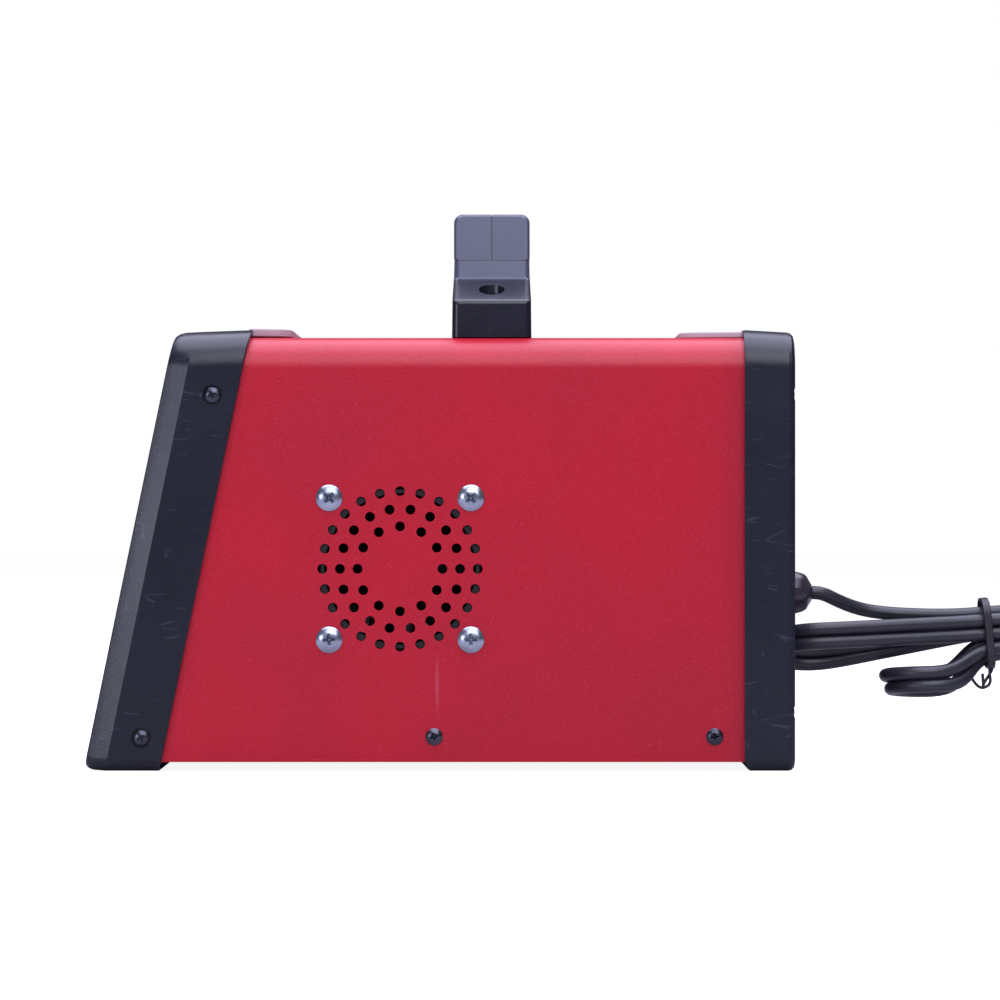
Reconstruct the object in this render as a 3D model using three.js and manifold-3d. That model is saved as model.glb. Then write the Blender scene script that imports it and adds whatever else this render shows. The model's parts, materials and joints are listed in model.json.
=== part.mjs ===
// A small stick welding inverter: a red folded steel case between two black moulded end frames,
// a bridge handle across the top, a leaning front panel with the current knob and two output
// sockets, a fan behind a drilled guard in one side, and a mains cord tied in a hank at the rear.
// Millimetres, +Z up. The origin is on the floor, midway between the two ends. The front faces -X.

import * as THREE from "three";
import { mergeVertices } from "three/addons/utils/BufferGeometryUtils.js";
import Module from "manifold-3d";

const wasm = await Module();
wasm.setup();

// ---- driving dimensions ----

const clearance = 0.3; // between two pieces that touch
const overallLength = 359; // over both end frames, at the floor
const caseWidth = 168; // over the red cover
const caseHeight = 214.4; // from the cover's lower edge to its top
const caseLift = 4.6; // the end frames carry the case this far above the floor
const caseCorner = 16; // outer radius of the cover's two long bends
const sheet = 1.2; // cover and tray steel
const lean = THREE.MathUtils.degToRad(11.7); // how far the front leans back

const bezelProud = 3; // end frames past the cover's sides
const bezelRise = 4; // end frames above the cover's top
const frontBezelDepth = 38.5;
const rearBezelDepth = 25.5;
const bezelLip = 9.5; // width of the rim round each mouth
const frontRecess = 17; // mouth to front panel
const rearRecess = 12.5; // mouth to rear panel
const bezelChamfer = { depth: 11, inward: 4 };
const bezelFootCorner = 7;
const mouthCorner = 9;
const tongue = { reach: 24, halfWidth: 62, tipHalfWidth: 54, thickness: 3.4 };

const panelThickness = 2;
const frontRim = frontBezelDepth - frontRecess - 4.5; // folded rim behind the front panel
const rearRim = 12; // folded rim ahead of the rear panel
const trayFlange = 22; // height of the tray's side flanges

const handleX = 26.5; // middle of the handle along the case
const handleHeight = 65; // case top to handle top
const handleWidth = 39;
const handleSpan = 142; // over the two feet
const handleFoot = 17; // height of a foot's upright face
const handleSlope = { run: 28, rise: 15.5 };
const handleLean = THREE.MathUtils.degToRad(9); // end faces of the grip lean inward
const handleLeg = 9.5; // leg thickness across the case
const gripHeight = 24;
const gripCore = { width: 20, height: 12 };
const gripCorner = 4.5;
const handleScrew = { inset: 14, head: 11.5, headHeight: 6, shank: 6, counterbore: 13, seat: 8 };

const fanX = -19.7; // fan centre along the case
const fanZ = 102; // and above the floor
const fanSize = 80;
const fanDepth = 25;
const fanPitch = 71.5; // mounting holes, square
const fanBore = 38.3; // inner radius of the fan frame
const fanHub = 18;
const fanBlades = 7;
const bladeTip = 1.5; // blade tip to frame
const guardHole = 2.5; // radius
const guardRings = [
  { radius: 39.2, count: 24, start: 0 },
  { radius: 30.3, count: 18, start: 0 },
  { radius: 21.4, count: 12, start: 0 },
];
const vent = { count: 11, pitch: 12, width: 3.4, height: 36, low: 32 };

const screwHead = { radius: 4.3, height: 1.7 }; // black pan heads
const trussHead = { radius: 6.7, height: 2.2 }; // zinc fan screws
const screwShank = 2; // radius of both
const counterbore = { radius: 5.2, depth: 1.4 };
const bezelScrews = { behindMouth: 26, heights: [16.9, 189.6] };
const coverScrews = { xs: [-2.5, 138.9], z: 17.4 };
const rearScrews = { fromEdge: 4.8, low: 30, high: 190 };

const knob = { radius: 19, height: 14, up: 152, turn: 6 };
const potentiometer = { radius: 8.5, depth: 10, bush: 3.5, shaft: 3 };
const socket = { spread: 84, up: 46, collar: 17, collarHeight: 9, body: 10.5, bore: 6.5, back: 20 };
const led = { spread: 44, up: 192, radius: 2.5, height: 5 };

const rocker = { y: 36, z: 150, width: 19, halfHeight: 11, tilt: THREE.MathUtils.degToRad(12) };
const cordD = 7; // mains cord
const gland = { y: -20, z: 88.6, root: 12.5, tip: 9.6, reach: 13 };

// the power board's two ends are measured from the machine's two ends
const board = {
  thickness: 1.6,
  lift: 14,
  front: 71.5 - overallLength / 2,
  rear: overallLength / 2 - 53.5,
  halfWidth: 70,
  post: { radius: 4, inset: 8, sideInset: 6 },
};
const controlBoard = { x: -84, halfWidth: 48, top: 172 };
const heatsink = { base: 6, height: 60, gap: 0.3, front: -50, rear: 8 };
const choke = { x: 30, y: 40, hole: 9, radius: 25, height: 20, round: 3 };
const capacitor = { x: 76, y: -32, pitch: 34, radius: 15, height: 51 };
const rectifier = { x: 96, y: -32, size: 28, height: 10 };
const busbar = { halfWidth: 7, thickness: 3, foot: 22, gap: 2.5 };

// ---- values that follow from them ----

const shearPerMm = Math.tan(lean);
const frontX = -overallLength / 2;
const rearX = overallLength / 2;
const caseTop = caseLift + caseHeight;
const halfCase = caseWidth / 2;
const halfBezel = halfCase + bezelProud;
const bezelTop = caseTop + bezelRise;
const sheetInside = halfCase - sheet;
const panelFront = frontX + frontRecess + clearance; // front panel's face, at the floor
const rearPanelX = rearX - rearRecess - clearance; // rear panel's outer face
const gripTop = caseTop + handleHeight;
const gripBottom = gripTop - gripHeight;
const trayTop = caseLift + sheet;
const boardZ = trayTop + board.lift;
const boardTop = boardZ + board.thickness + clearance;

// ---- solids from three.js geometry ----

function solidOf(geometry) {
  const bare = new THREE.BufferGeometry();
  bare.setAttribute("position", geometry.getAttribute("position").clone());
  bare.setIndex(geometry.index);
  const merged = mergeVertices(bare, 1e-4);
  return new wasm.Manifold(
    new wasm.Mesh({
      numProp: 3,
      vertProperties: new Float32Array(merged.attributes.position.array),
      triVerts: new Uint32Array(merged.index.array),
    }),
  );
}

function geometryOf(manifold) {
  const made = manifold.getMesh();
  const geometry = new THREE.BufferGeometry();
  geometry.setAttribute("position", new THREE.BufferAttribute(made.vertProperties, 3));
  geometry.setIndex(new THREE.BufferAttribute(made.triVerts, 1));
  return geometry;
}

function joined(...pieces) {
  return geometryOf(pieces.map(solidOf).reduce((sum, next) => sum.add(next)));
}

function cut(body, ...tools) {
  return geometryOf(tools.map(solidOf).reduce((rest, tool) => rest.subtract(tool), solidOf(body)));
}

function common(first, second) {
  return geometryOf(solidOf(first).intersect(solidOf(second)));
}

// ---- outlines and extrusions ----

function polygon(points) {
  return new THREE.Shape(points.map(([x, y]) => new THREE.Vector2(x, y)));
}

// A rectangle with one radius at its two lower corners and another at its two upper ones.
function roundedRect(left, low, right, high, lowRadius, highRadius = lowRadius) {
  const shape = new THREE.Shape();
  const half = Math.PI / 2;
  shape.moveTo(left + lowRadius, low);
  shape.absarc(right - lowRadius, low + lowRadius, lowRadius, -half, 0);
  shape.absarc(right - highRadius, high - highRadius, highRadius, 0, half);
  shape.absarc(left + highRadius, high - highRadius, highRadius, half, 2 * half);
  shape.absarc(left + lowRadius, low + lowRadius, lowRadius, 2 * half, 3 * half);
  return shape;
}

function extrude(shape, depth, arcSteps = 5) {
  return new THREE.ExtrudeGeometry(shape, { depth, bevelEnabled: false, curveSegments: arcSteps });
}

// An outline drawn in Y and Z, pushed along X.
function alongX(shape, from, to, arcSteps) {
  const turn = new THREE.Matrix4().makeBasis(
    new THREE.Vector3(0, 1, 0),
    new THREE.Vector3(0, 0, 1),
    new THREE.Vector3(1, 0, 0),
  );
  return extrude(shape, to - from, arcSteps).applyMatrix4(turn).translate(from, 0, 0);
}

// An outline drawn in X and Z, pushed along Y.
function alongY(shape, from, to, arcSteps) {
  return extrude(shape, to - from, arcSteps).rotateX(Math.PI / 2).translate(0, to, 0);
}

function alongZ(shape, from, to, arcSteps) {
  return extrude(shape, to - from, arcSteps).translate(0, 0, from);
}

function block(x0, y0, z0, x1, y1, z1) {
  const geometry = new THREE.BoxGeometry(x1 - x0, y1 - y0, z1 - z0);
  return geometry.translate((x0 + x1) / 2, (y0 + y1) / 2, (z0 + z1) / 2);
}

// A turned piece about +X, from [distance along X, radius] pairs that start and end on the axis.
function turnedX(profile, segments = 16) {
  const points = profile.map(([along, radius]) => new THREE.Vector2(radius, along));
  return new THREE.LatheGeometry(points, segments).rotateZ(-Math.PI / 2);
}

function rodX(from, to, radius, segments = 12) {
  return turnedX([[from, 0], [from, radius], [to, radius], [to, 0]], segments);
}

function rodY(from, to, radius, segments = 12) {
  return rodX(from, to, radius, segments).rotateZ(Math.PI / 2);
}

function rodZ(from, to, radius, segments = 12) {
  return rodX(from, to, radius, segments).rotateY(-Math.PI / 2);
}

// Slides each level along X so that an upright front leans back by the front's angle.
function leaned(geometry) {
  return geometry.applyMatrix4(new THREE.Matrix4().set(
    1, 0, shearPerMm, 0,
    0, 1, 0, 0,
    0, 0, 1, 0,
    0, 0, 0, 1,
  ));
}

// Places a piece built about -X on the leaning panel: at side y, and up the panel from the floor.
function onPanel(geometry, y, up) {
  return geometry.translate(0, y, up).rotateY(lean).translate(panelFront, 0, 0);
}

// The other side's copy. The scale turns every face round, so each triangle is turned back.
function mirroredY(geometry) {
  const corners = (geometry.index ? geometry.toNonIndexed() : geometry.clone()).getAttribute("position");
  const flipped = new Float32Array(corners.count * 3);
  for (let i = 0; i < corners.count; i += 1) {
    const to = i % 3 === 0 ? i : i - (i % 3) + (3 - (i % 3));
    flipped.set([corners.getX(i), -corners.getY(i), corners.getZ(i)], to * 3);
  }
  return new THREE.BufferGeometry().setAttribute("position", new THREE.BufferAttribute(flipped, 3));
}

// ---- the assembly ----

const inverter = new THREE.Group();

function material(color, roughness, metalness = 0) {
  return { color, roughness, metalness };
}

const finishes = {
  redPaint: material("#b8203a", 0.45),
  blackPlastic: material("#22232e", 0.55),
  softPlastic: material("#2a2b36", 0.7),
  zinc: material("#c3c9d2", 0.35, 1),
  blackSteel: material("#1b1b1f", 0.4, 0.8),
  brass: material("#c9a14e", 0.35, 1),
  copper: material("#b8693c", 0.4, 1),
  aluminium: material("#b9bdc2", 0.45, 1),
  fibreglass: material("#1f5a3a", 0.6),
  ferrite: material("#3a3b3f", 0.7),
  cordBlack: material("#26262d", 0.6),
  greenLens: material("#2fae5a", 0.3),
  amberLens: material("#e0a12c", 0.3),
};

function add(name, geometry, finish, parent = inverter) {
  const mesh = new THREE.Mesh(geometry, new THREE.MeshStandardMaterial(finishes[finish]));
  mesh.name = name;
  parent.add(mesh);
  return mesh;
}

// ---- fasteners ----

// A screw through the -Y wall: head outside, its underside one clearance off the seat.
function sideScrew(head, seatY, x, z, shankLength) {
  const under = seatY - clearance;
  const shape = turnedX([
    [under - head.height, 0],
    [under - head.height, head.radius * 0.55],
    [under - head.height * 0.45, head.radius * 0.92],
    [under, head.radius],
    [under, screwShank],
    [under + shankLength, screwShank],
    [under + shankLength, 0],
  ], 12);
  return shape.rotateZ(Math.PI / 2).translate(x, 0, z);
}

function sideHole(x, z, radius = screwShank + clearance) {
  return rodY(-halfBezel - 1, -sheetInside + 8, radius, 10).translate(x, 0, z);
}

const bezelScrewSpots = bezelScrews.heights.map((z) => ({
  x: frontX + bezelScrews.behindMouth + z * shearPerMm,
  z,
}));
const coverScrewSpots = coverScrews.xs.map((x) => ({ x, z: coverScrews.z }));
const fanScrewSpots = [-1, 1].flatMap((i) =>
  [-1, 1].map((j) => ({ x: fanX + (i * fanPitch) / 2, z: fanZ + (j * fanPitch) / 2 })),
);

// Both sides of the case carry the same holes, except for the fan's.
function bothSides(tool) {
  return [tool, mirroredY(tool)];
}

// ---- red cover: a folded sheet open below ----

function caseOutline(inset, low = caseLift + inset) {
  const radius = caseCorner - inset;
  const side = halfCase - inset;
  return roundedRect(-side, low, side, caseTop - inset, 0.6, radius);
}

const coverFront = frontX + frontRecess + clearance;
const coverRear = rearPanelX;

function leaningCutter(faceX) {
  return leaned(block(faceX - 200, -200, -50, faceX, 200, 400));
}

function buildCover() {
  const outer = alongX(caseOutline(0), frontX - 50, coverRear, 6);
  const inner = alongX(caseOutline(sheet, caseLift - 20), frontX - 60, coverRear + 10, 6);
  const holes = guardRings.flatMap(({ radius, count, start }) =>
    Array.from({ length: count }, (_, i) => {
      const angle = THREE.MathUtils.degToRad(start + (i * 360) / count);
      const x = fanX + radius * Math.cos(angle);
      const z = fanZ + radius * Math.sin(angle);
      return rodY(-halfCase - 1, -sheetInside + 1, guardHole, 8).translate(x, 0, z);
    }),
  );
  const slots = Array.from({ length: vent.count }, (_, i) => {
    const x = fanX + (i - (vent.count - 1) / 2) * vent.pitch;
    const half = vent.width / 2;
    return block(x - half, sheetInside - 1, vent.low, x + half, halfCase + 1, vent.low + vent.height);
  });
  const screwHoles = [
    ...fanScrewSpots.map(({ x, z }) => sideHole(x, z)),
    ...[...bezelScrewSpots, ...coverScrewSpots].flatMap(({ x, z }) => bothSides(sideHole(x, z))),
  ];
  const handleHoles = [-1, 1].map((side) =>
    rodZ(caseTop - 5, caseTop + 5, handleScrew.shank / 2 + clearance)
      .translate(handleX, side * (handleSpan / 2 - handleScrew.inset), 0),
  );
  return cut(outer, inner, leaningCutter(coverFront), ...holes, ...slots, ...screwHoles, ...handleHoles);
}
add("cover", buildCover(), "redPaint");

// ---- panels: dished plates whose rims sit just inside the cover's ends ----

const panInset = sheet + clearance;

function panOutline(inset = 0) {
  return caseOutline(panInset + inset, caseLift + inset);
}

function pan(rimDepth) {
  const plate = alongX(panOutline(), 0, panelThickness);
  const rim = alongX(panOutline(), panelThickness - 0.5, panelThickness + rimDepth);
  const hollow = alongX(panOutline(sheet), panelThickness - 1, panelThickness + rimDepth + 1);
  return joined(plate, cut(rim, hollow));
}

const socketSides = [-1, 1];
const ledSides = [-1, 1];

function buildFrontPanel() {
  const plate = leaned(pan(frontRim)).translate(panelFront, 0, 0);
  const through = (radius) => rodX(-10, 12, radius, 16);
  return cut(
    plate,
    onPanel(through(potentiometer.bush + clearance), 0, knob.up),
    ...socketSides.map((s) => onPanel(through(socket.body + clearance), (s * socket.spread) / 2, socket.up)),
    ...ledSides.map((s) => onPanel(through(led.radius + clearance), (s * led.spread) / 2, led.up)),
    ...bezelScrewSpots.flatMap(({ x, z }) => bothSides(sideHole(x, z))),
  );
}
add("front_panel", buildFrontPanel(), "blackSteel");

const rockerCase = { halfWidth: rocker.width / 2 + 3, halfHeight: rocker.halfHeight + 5, depth: 22 };

function rockerBlock(x0, x1, halfWidth, halfHeight) {
  const { y, z } = rocker;
  return block(x0, y - halfWidth, z - halfHeight, x1, y + halfWidth, z + halfHeight);
}

function buildRearPanel() {
  const plate = pan(rearRim).rotateZ(Math.PI).translate(rearPanelX, 0, 0);
  const glandHole = rodX(rearPanelX - 10, rearPanelX + 5, gland.tip + clearance, 16);
  const { halfWidth, halfHeight } = rockerCase;
  return cut(
    plate,
    glandHole.translate(0, gland.y, gland.z),
    rockerBlock(rearPanelX - 10, rearPanelX + 5, halfWidth + clearance, halfHeight + clearance),
  );
}
add("rear_panel", buildRearPanel(), "blackSteel");

// ---- base tray: a shallow channel between the two panels ----

const trayFront = panelFront + panelThickness + frontRim + clearance;
const trayRear = rearPanelX - panelThickness - rearRim - clearance;

function buildTray() {
  const side = halfCase - panInset;
  const channel = polygon([
    [-side, caseLift], [side, caseLift], [side, caseLift + trayFlange],
    [side - sheet, caseLift + trayFlange], [side - sheet, trayTop],
    [-side + sheet, trayTop], [-side + sheet, caseLift + trayFlange], [-side, caseLift + trayFlange],
  ]);
  const trough = cut(alongX(channel, frontX, trayRear), leaningCutter(trayFront));
  const posts = [-1, 1].flatMap((side) =>
    [board.front + board.post.inset, board.rear - board.post.inset].map((x) =>
      rodZ(trayTop - 0.5, boardZ - clearance, board.post.radius, 8)
        .translate(x, side * (board.halfWidth - board.post.sideInset), 0),
    ),
  );
  const holes = coverScrewSpots.flatMap(({ x, z }) => bothSides(sideHole(x, z)));
  return cut(joined(trough, ...posts), ...holes);
}
add("base_tray", buildTray(), "zinc");

// ---- moulded end frames: they wrap the cover's ends and are the feet ----

function bezelOutline() {
  return roundedRect(-halfBezel, 0, halfBezel, bezelTop, bezelFootCorner, caseCorner + bezelProud);
}

function mouthOutline() {
  const side = halfBezel - bezelLip;
  return roundedRect(-side, bezelLip, side, bezelTop - bezelLip, mouthCorner);
}

// A frame with its mouth at x = 0 and its cover pocket behind the recess.
function endFrame(depth, recess) {
  const body = alongX(bezelOutline(), 0, depth);
  const mouth = alongX(mouthOutline(), -1, depth + 1);
  const pocket = alongX(caseOutline(-clearance), recess, depth + 1, 6);
  const { depth: back, inward } = bezelChamfer;
  const cheek = polygon([
    [-1, halfBezel - inward], [0, halfBezel - inward], [back, halfBezel], [-1, halfBezel],
  ]);
  const cheekCutter = alongZ(cheek, -1, bezelTop + 1);
  return cut(body, mouth, pocket, ...(recess === frontRecess ? bothSides(cheekCutter) : []));
}

// A flat tongue that lies on the cover's top, drawn from the frame's inner edge along +X.
function topTongue(start) {
  const { reach, halfWidth, tipHalfWidth, thickness } = tongue;
  const plan = polygon([
    [start - 3, -halfWidth], [start, -halfWidth], [start + reach, -tipHalfWidth],
    [start + reach, tipHalfWidth], [start, halfWidth], [start - 3, halfWidth],
  ]);
  const low = caseTop + clearance;
  return alongZ(plan, low, low + thickness);
}

function counterboreTool(x, z) {
  return rodY(-halfBezel - 1, -halfBezel + counterbore.depth, counterbore.radius, 16).translate(x, 0, z);
}

function buildFrontBezel() {
  const frame = leaned(endFrame(frontBezelDepth, frontRecess)).translate(frontX, 0, 0);
  const tongueStart = frontX + frontBezelDepth + caseTop * shearPerMm;
  return cut(
    joined(frame, topTongue(tongueStart)),
    ...bezelScrewSpots.flatMap(({ x, z }) => [
      ...bothSides(counterboreTool(x, z)),
      ...bothSides(sideHole(x, z)),
    ]),
  );
}
add("front_bezel", buildFrontBezel(), "blackPlastic");

const rearScrewSpots = [-1, 1].flatMap((side) =>
  [rearScrews.low, rearScrews.high].map((z) => ({ y: side * (halfBezel - rearScrews.fromEdge), z })),
);

function buildRearBezel() {
  const frame = joined(endFrame(rearBezelDepth, rearRecess), topTongue(rearBezelDepth));
  const placed = frame.rotateZ(Math.PI).translate(rearX, 0, 0);
  const bores = rearScrewSpots.flatMap(({ y, z }) => [
    rodX(rearX - rearRecess + 3, rearX + 1, screwShank + clearance, 10).translate(0, y, z),
    rodX(rearX - counterbore.depth, rearX + 1, screwHead.radius + clearance, 12).translate(0, y, z),
  ]);
  return cut(placed, ...bores);
}
add("rear_bezel", buildRearBezel(), "blackPlastic");

// ---- screws ----

function addScrewPairs(label, spots, seat, shankLength) {
  spots.forEach(({ x, z }, i) => {
    const screw = sideScrew(screwHead, seat, x, z, shankLength);
    add(`${label}_screw_left_${i + 1}`, screw, "blackSteel");
    add(`${label}_screw_right_${i + 1}`, mirroredY(screw), "blackSteel");
  });
}
addScrewPairs("front_bezel", bezelScrewSpots, -halfBezel + counterbore.depth, 8);
addScrewPairs("cover", coverScrewSpots, -halfCase, 7);

fanScrewSpots.forEach(({ x, z }, i) => {
  add(`fan_screw_${i + 1}`, sideScrew(trussHead, -halfCase, x, z, 14), "zinc");
});

rearScrewSpots.forEach(({ y, z }, i) => {
  const under = rearX - counterbore.depth + clearance;
  const screw = turnedX([
    [under - 7, 0], [under - 7, screwShank], [under, screwShank],
    [under, screwHead.radius], [under + screwHead.height * 0.6, screwHead.radius * 0.85],
    [under + counterbore.depth - clearance, screwHead.radius * 0.5],
    [under + counterbore.depth - clearance, 0],
  ], 12);
  add(`rear_bezel_screw_${i + 1}`, screw.translate(0, y, z), "blackSteel");
});

// ---- bridge handle across the case ----

const footHalf = handleSpan / 2;
const footBase = caseTop + clearance;
const slopeTop = { y: footHalf - handleSlope.run, z: caseTop + handleFoot + handleSlope.rise };
const gripHalfAt = (z) => slopeTop.y - (z - slopeTop.z) * Math.tan(handleLean);
const legInside = slopeTop.y - handleLeg;
const coreBottom = gripBottom + (gripHeight - gripCore.height) / 2;
const coreHalf = gripHalfAt(gripTop) - 3;

// The core bar and its two necks, grown by a margin so that it also cuts the grips' hollow.
function handleCore(margin) {
  const low = coreBottom - margin;
  const high = coreBottom + gripCore.height + margin;
  const half = gripCore.width / 2 + margin;
  const bar = block(-half, -coreHalf - margin, low, half, coreHalf + margin, high);
  const necks = [-1, 1].map((side) => {
    const edges = [side * (coreHalf + margin), side * (legInside - margin)].sort((a, b) => a - b);
    return block(-half, edges[0], gripBottom - 3, half, edges[1], high);
  });
  return joined(bar, ...necks).translate(handleX, 0, 0);
}

function buildHandleBridge() {
  const legTop = gripBottom - clearance;
  const legs = [1, -1].map((side) => {
    const outline = polygon([
      [side * legInside, footBase], [side * footHalf, footBase],
      [side * footHalf, caseTop + handleFoot], [side * slopeTop.y, slopeTop.z],
      [side * gripHalfAt(legTop), legTop], [side * legInside, legTop],
    ]);
    return alongX(outline, handleX - handleWidth / 2, handleX + handleWidth / 2);
  });
  const bores = [-1, 1].flatMap((side) => {
    const y = side * (footHalf - handleScrew.inset);
    const seat = caseTop + handleScrew.seat;
    return [
      rodZ(seat, seat + 40, handleScrew.counterbore / 2, 16).translate(handleX, y, 0),
      rodZ(caseTop - 1, seat + 1, handleScrew.shank / 2 + clearance, 12).translate(handleX, y, 0),
    ];
  });
  return cut(joined(handleCore(0), ...legs), ...bores);
}
add("handle_bridge", buildHandleBridge(), "blackPlastic");

function gripHalf(side) {
  const outer = roundedRect(
    handleX - handleWidth / 2, gripBottom, handleX + handleWidth / 2, gripTop, gripCorner,
  );
  const reach = gripHalfAt(gripBottom);
  const bar = alongY(outer, -reach, reach, 4);
  const endCutters = [1, -1].map((end) => {
    const wedge = polygon([
      [end * gripHalfAt(gripBottom - 2), gripBottom - 2],
      [end * (reach + 20), gripBottom - 2],
      [end * (reach + 20), gripTop + 2],
      [end * gripHalfAt(gripTop + 2), gripTop + 2],
    ]);
    return alongX(wedge, handleX - 40, handleX + 40);
  });
  const half = clearance / 2;
  const otherSide = side < 0
    ? block(handleX - half, -100, gripBottom - 5, handleX + 60, 100, gripTop + 5)
    : block(handleX - 60, -100, gripBottom - 5, handleX + half, 100, gripTop + 5);
  return cut(bar, handleCore(clearance), otherSide, ...endCutters);
}
add("handle_grip_front", gripHalf(-1), "softPlastic");
add("handle_grip_rear", gripHalf(1), "softPlastic");

["left", "right"].forEach((label, i) => {
  const y = (i * 2 - 1) * (footHalf - handleScrew.inset);
  const under = caseTop + handleScrew.seat + clearance;
  const head = handleScrew.head / 2;
  const shank = handleScrew.shank / 2;
  const screw = turnedX([
    [caseTop - 12, 0], [caseTop - 12, shank], [under, shank], [under, head],
    [under + handleScrew.headHeight, head], [under + handleScrew.headHeight, 3],
    [under + handleScrew.headHeight - 3, 3], [under + handleScrew.headHeight - 3, 0],
  ]);
  add(`handle_screw_${label}`, screw.rotateY(-Math.PI / 2).translate(handleX, y, 0), "blackSteel");
});

// ---- controls and sockets on the leaning front panel ----

function buildKnob() {
  const { radius, height } = knob;
  const outside = -height - 1;
  const body = turnedX([
    [outside, 0], [outside, radius * 0.78], [outside + 1.5, radius * 0.84],
    [-4, radius * 0.9], [-3.4, radius], [-1, radius], [-1, 0],
  ], 24);
  const bore = rodX(-height + 3, 0, potentiometer.shaft + clearance, 12);
  return cut(body, bore);
}
add("current_knob", onPanel(buildKnob(), 0, knob.up), "softPlastic");

const potBack = panelThickness + clearance;
const shaftHole = rodX(-5, potBack + potentiometer.depth - 2, potentiometer.shaft + clearance, 12);
const potBody = joined(
  rodX(potBack, potBack + potentiometer.depth, potentiometer.radius, 16),
  rodX(-0.6, potBack + 0.5, potentiometer.bush + 0.01, 12),
);
const potBush = cut(potBody, rodX(-5, potBack + potentiometer.depth - 2, 2.4 + clearance, 12));
add("potentiometer", onPanel(potBush, 0, knob.up), "aluminium");
const shaftEnd = potBack + potentiometer.depth - 2 - clearance;
const shaft = joined(rodX(-knob.height + 3.6, -0.9, potentiometer.shaft, 12), rodX(-1, shaftEnd, 2.4, 12));
add("potentiometer_shaft", onPanel(shaft, 0, knob.up), "aluminium");

// A twist-lock output socket: a brass body with a keyed bore, inside an insulating collar.
function buildSocketBody() {
  const { body, bore, back, collarHeight } = socket;
  const core = turnedX([
    [-collarHeight + 2, 0], [-collarHeight + 2, body], [back, body],
    [back, body * 0.6], [back + 9, body * 0.6], [back + 9, 0],
  ], 20);
  const keyway = block(-collarHeight, bore - 1, -1.7, 6, bore + 2, 1.7);
  return cut(core, rodX(-collarHeight, back - 4, bore, 20), keyway);
}

function buildSocketCollar() {
  const { body, collar, collarHeight } = socket;
  const inner = body + clearance;
  return turnedX([
    [-collarHeight, inner], [-collarHeight, collar - 2.4], [-collarHeight + 1.4, collar - 1],
    [-2.6, collar - 1], [-2.2, collar], [-clearance, collar], [-clearance, inner], [-collarHeight, inner],
  ], 20);
}

["negative", "positive"].forEach((label, i) => {
  const y = (socketSides[i] * socket.spread) / 2;
  add(`output_socket_${label}`, onPanel(buildSocketBody(), y, socket.up), "brass");
  add(`socket_collar_${label}`, onPanel(buildSocketCollar(), y, socket.up), "softPlastic");
});

["power", "overheat"].forEach((label, i) => {
  const { radius, height } = led;
  const lens = turnedX([
    [-height * 0.6, 0], [-height * 0.5, radius * 0.6], [-height * 0.3, radius],
    [-clearance, radius], [panelThickness + 3, radius], [panelThickness + 3, 0],
  ], 12);
  add(`${label}_led`, onPanel(lens, (ledSides[i] * led.spread) / 2, led.up), i ? "amberLens" : "greenLens");
});

// ---- mains rocker switch on the rear panel ----

const pivotX = rearPanelX + 1.5;

function buildSwitchHousing() {
  const { halfWidth, halfHeight, depth } = rockerCase;
  const body = rockerBlock(rearPanelX - depth, rearPanelX + clearance + 0.5, halfWidth, halfHeight);
  const flange = rockerBlock(rearPanelX + clearance, rearPanelX + 2.4, halfWidth + 2, halfHeight + 2);
  const well = rockerBlock(pivotX - 8, rearX, rocker.width / 2 + 0.6, rocker.halfHeight + 2.4);
  return cut(joined(body, flange), well);
}
add("power_switch_housing", buildSwitchHousing(), "blackPlastic");

function buildRocker() {
  const { halfHeight, width } = rocker;
  const face = polygon([
    [-4, -halfHeight + 4], [4.6, -halfHeight], [3, 0], [4.6, halfHeight], [-4, halfHeight - 4],
  ]);
  return alongY(face, -width / 2, width / 2).rotateY(rocker.tilt).translate(pivotX, rocker.y, rocker.z);
}
add("power_switch_rocker", buildRocker(), "softPlastic");

// ---- fan behind the drilled guard ----

const fanFace = -sheetInside + clearance;
const fanBack = fanFace + fanDepth;
const strutDepth = 3.5;
const impellerFront = fanFace + 5.4;
const impellerBack = fanBack - strutDepth - 1;

function buildFanFrame() {
  const half = fanSize / 2;
  const square = roundedRect(-half, -half, half, half, 5);
  const mountHoles = fanScrewSpots.map(({ x, z }) =>
    rodY(fanFace - 1, fanBack + 1, screwShank + clearance, 10).translate(x - fanX, 0, z - fanZ),
  );
  const shell = cut(
    alongY(square, fanFace, fanBack, 3),
    rodY(fanFace - 1, fanBack + 1, fanBore, 32),
    ...mountHoles,
  );
  const struts = [0, 1].map((i) =>
    block(-fanBore - 1, fanBack - strutDepth, -2.5, fanBore + 1, fanBack, 2.5)
      .rotateY(Math.PI / 4 + (i * Math.PI) / 2),
  );
  const motorPlate = rodY(fanBack - strutDepth, fanBack, fanHub, 20);
  return joined(shell, ...struts, motorPlate).translate(fanX, 0, fanZ);
}
add("fan_frame", buildFanFrame(), "blackPlastic");

function buildImpeller() {
  const tip = fanBore - bladeTip;
  const depth = impellerBack - impellerFront;
  const middle = (impellerFront + impellerBack) / 2;
  const blades = Array.from({ length: fanBlades }, (_, i) =>
    block(fanHub - 3, -depth * 0.52, -0.8, tip, depth * 0.52, 0.8)
      .rotateX(THREE.MathUtils.degToRad(48))
      .translate(0, middle, 0)
      .rotateY((i * 2 * Math.PI) / fanBlades),
  );
  return joined(rodY(impellerFront, impellerBack, fanHub, 20), ...blades).translate(fanX, 0, fanZ);
}
add("fan_impeller", buildImpeller(), "softPlastic");

// ---- electronics ----

add(
  "power_board",
  block(board.front, -board.halfWidth, boardZ, board.rear, board.halfWidth, boardZ + board.thickness),
  "fibreglass",
);
add("control_board", block(
  controlBoard.x, -controlBoard.halfWidth, boardTop,
  controlBoard.x + board.thickness, controlBoard.halfWidth, controlBoard.top,
), "fibreglass");

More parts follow.
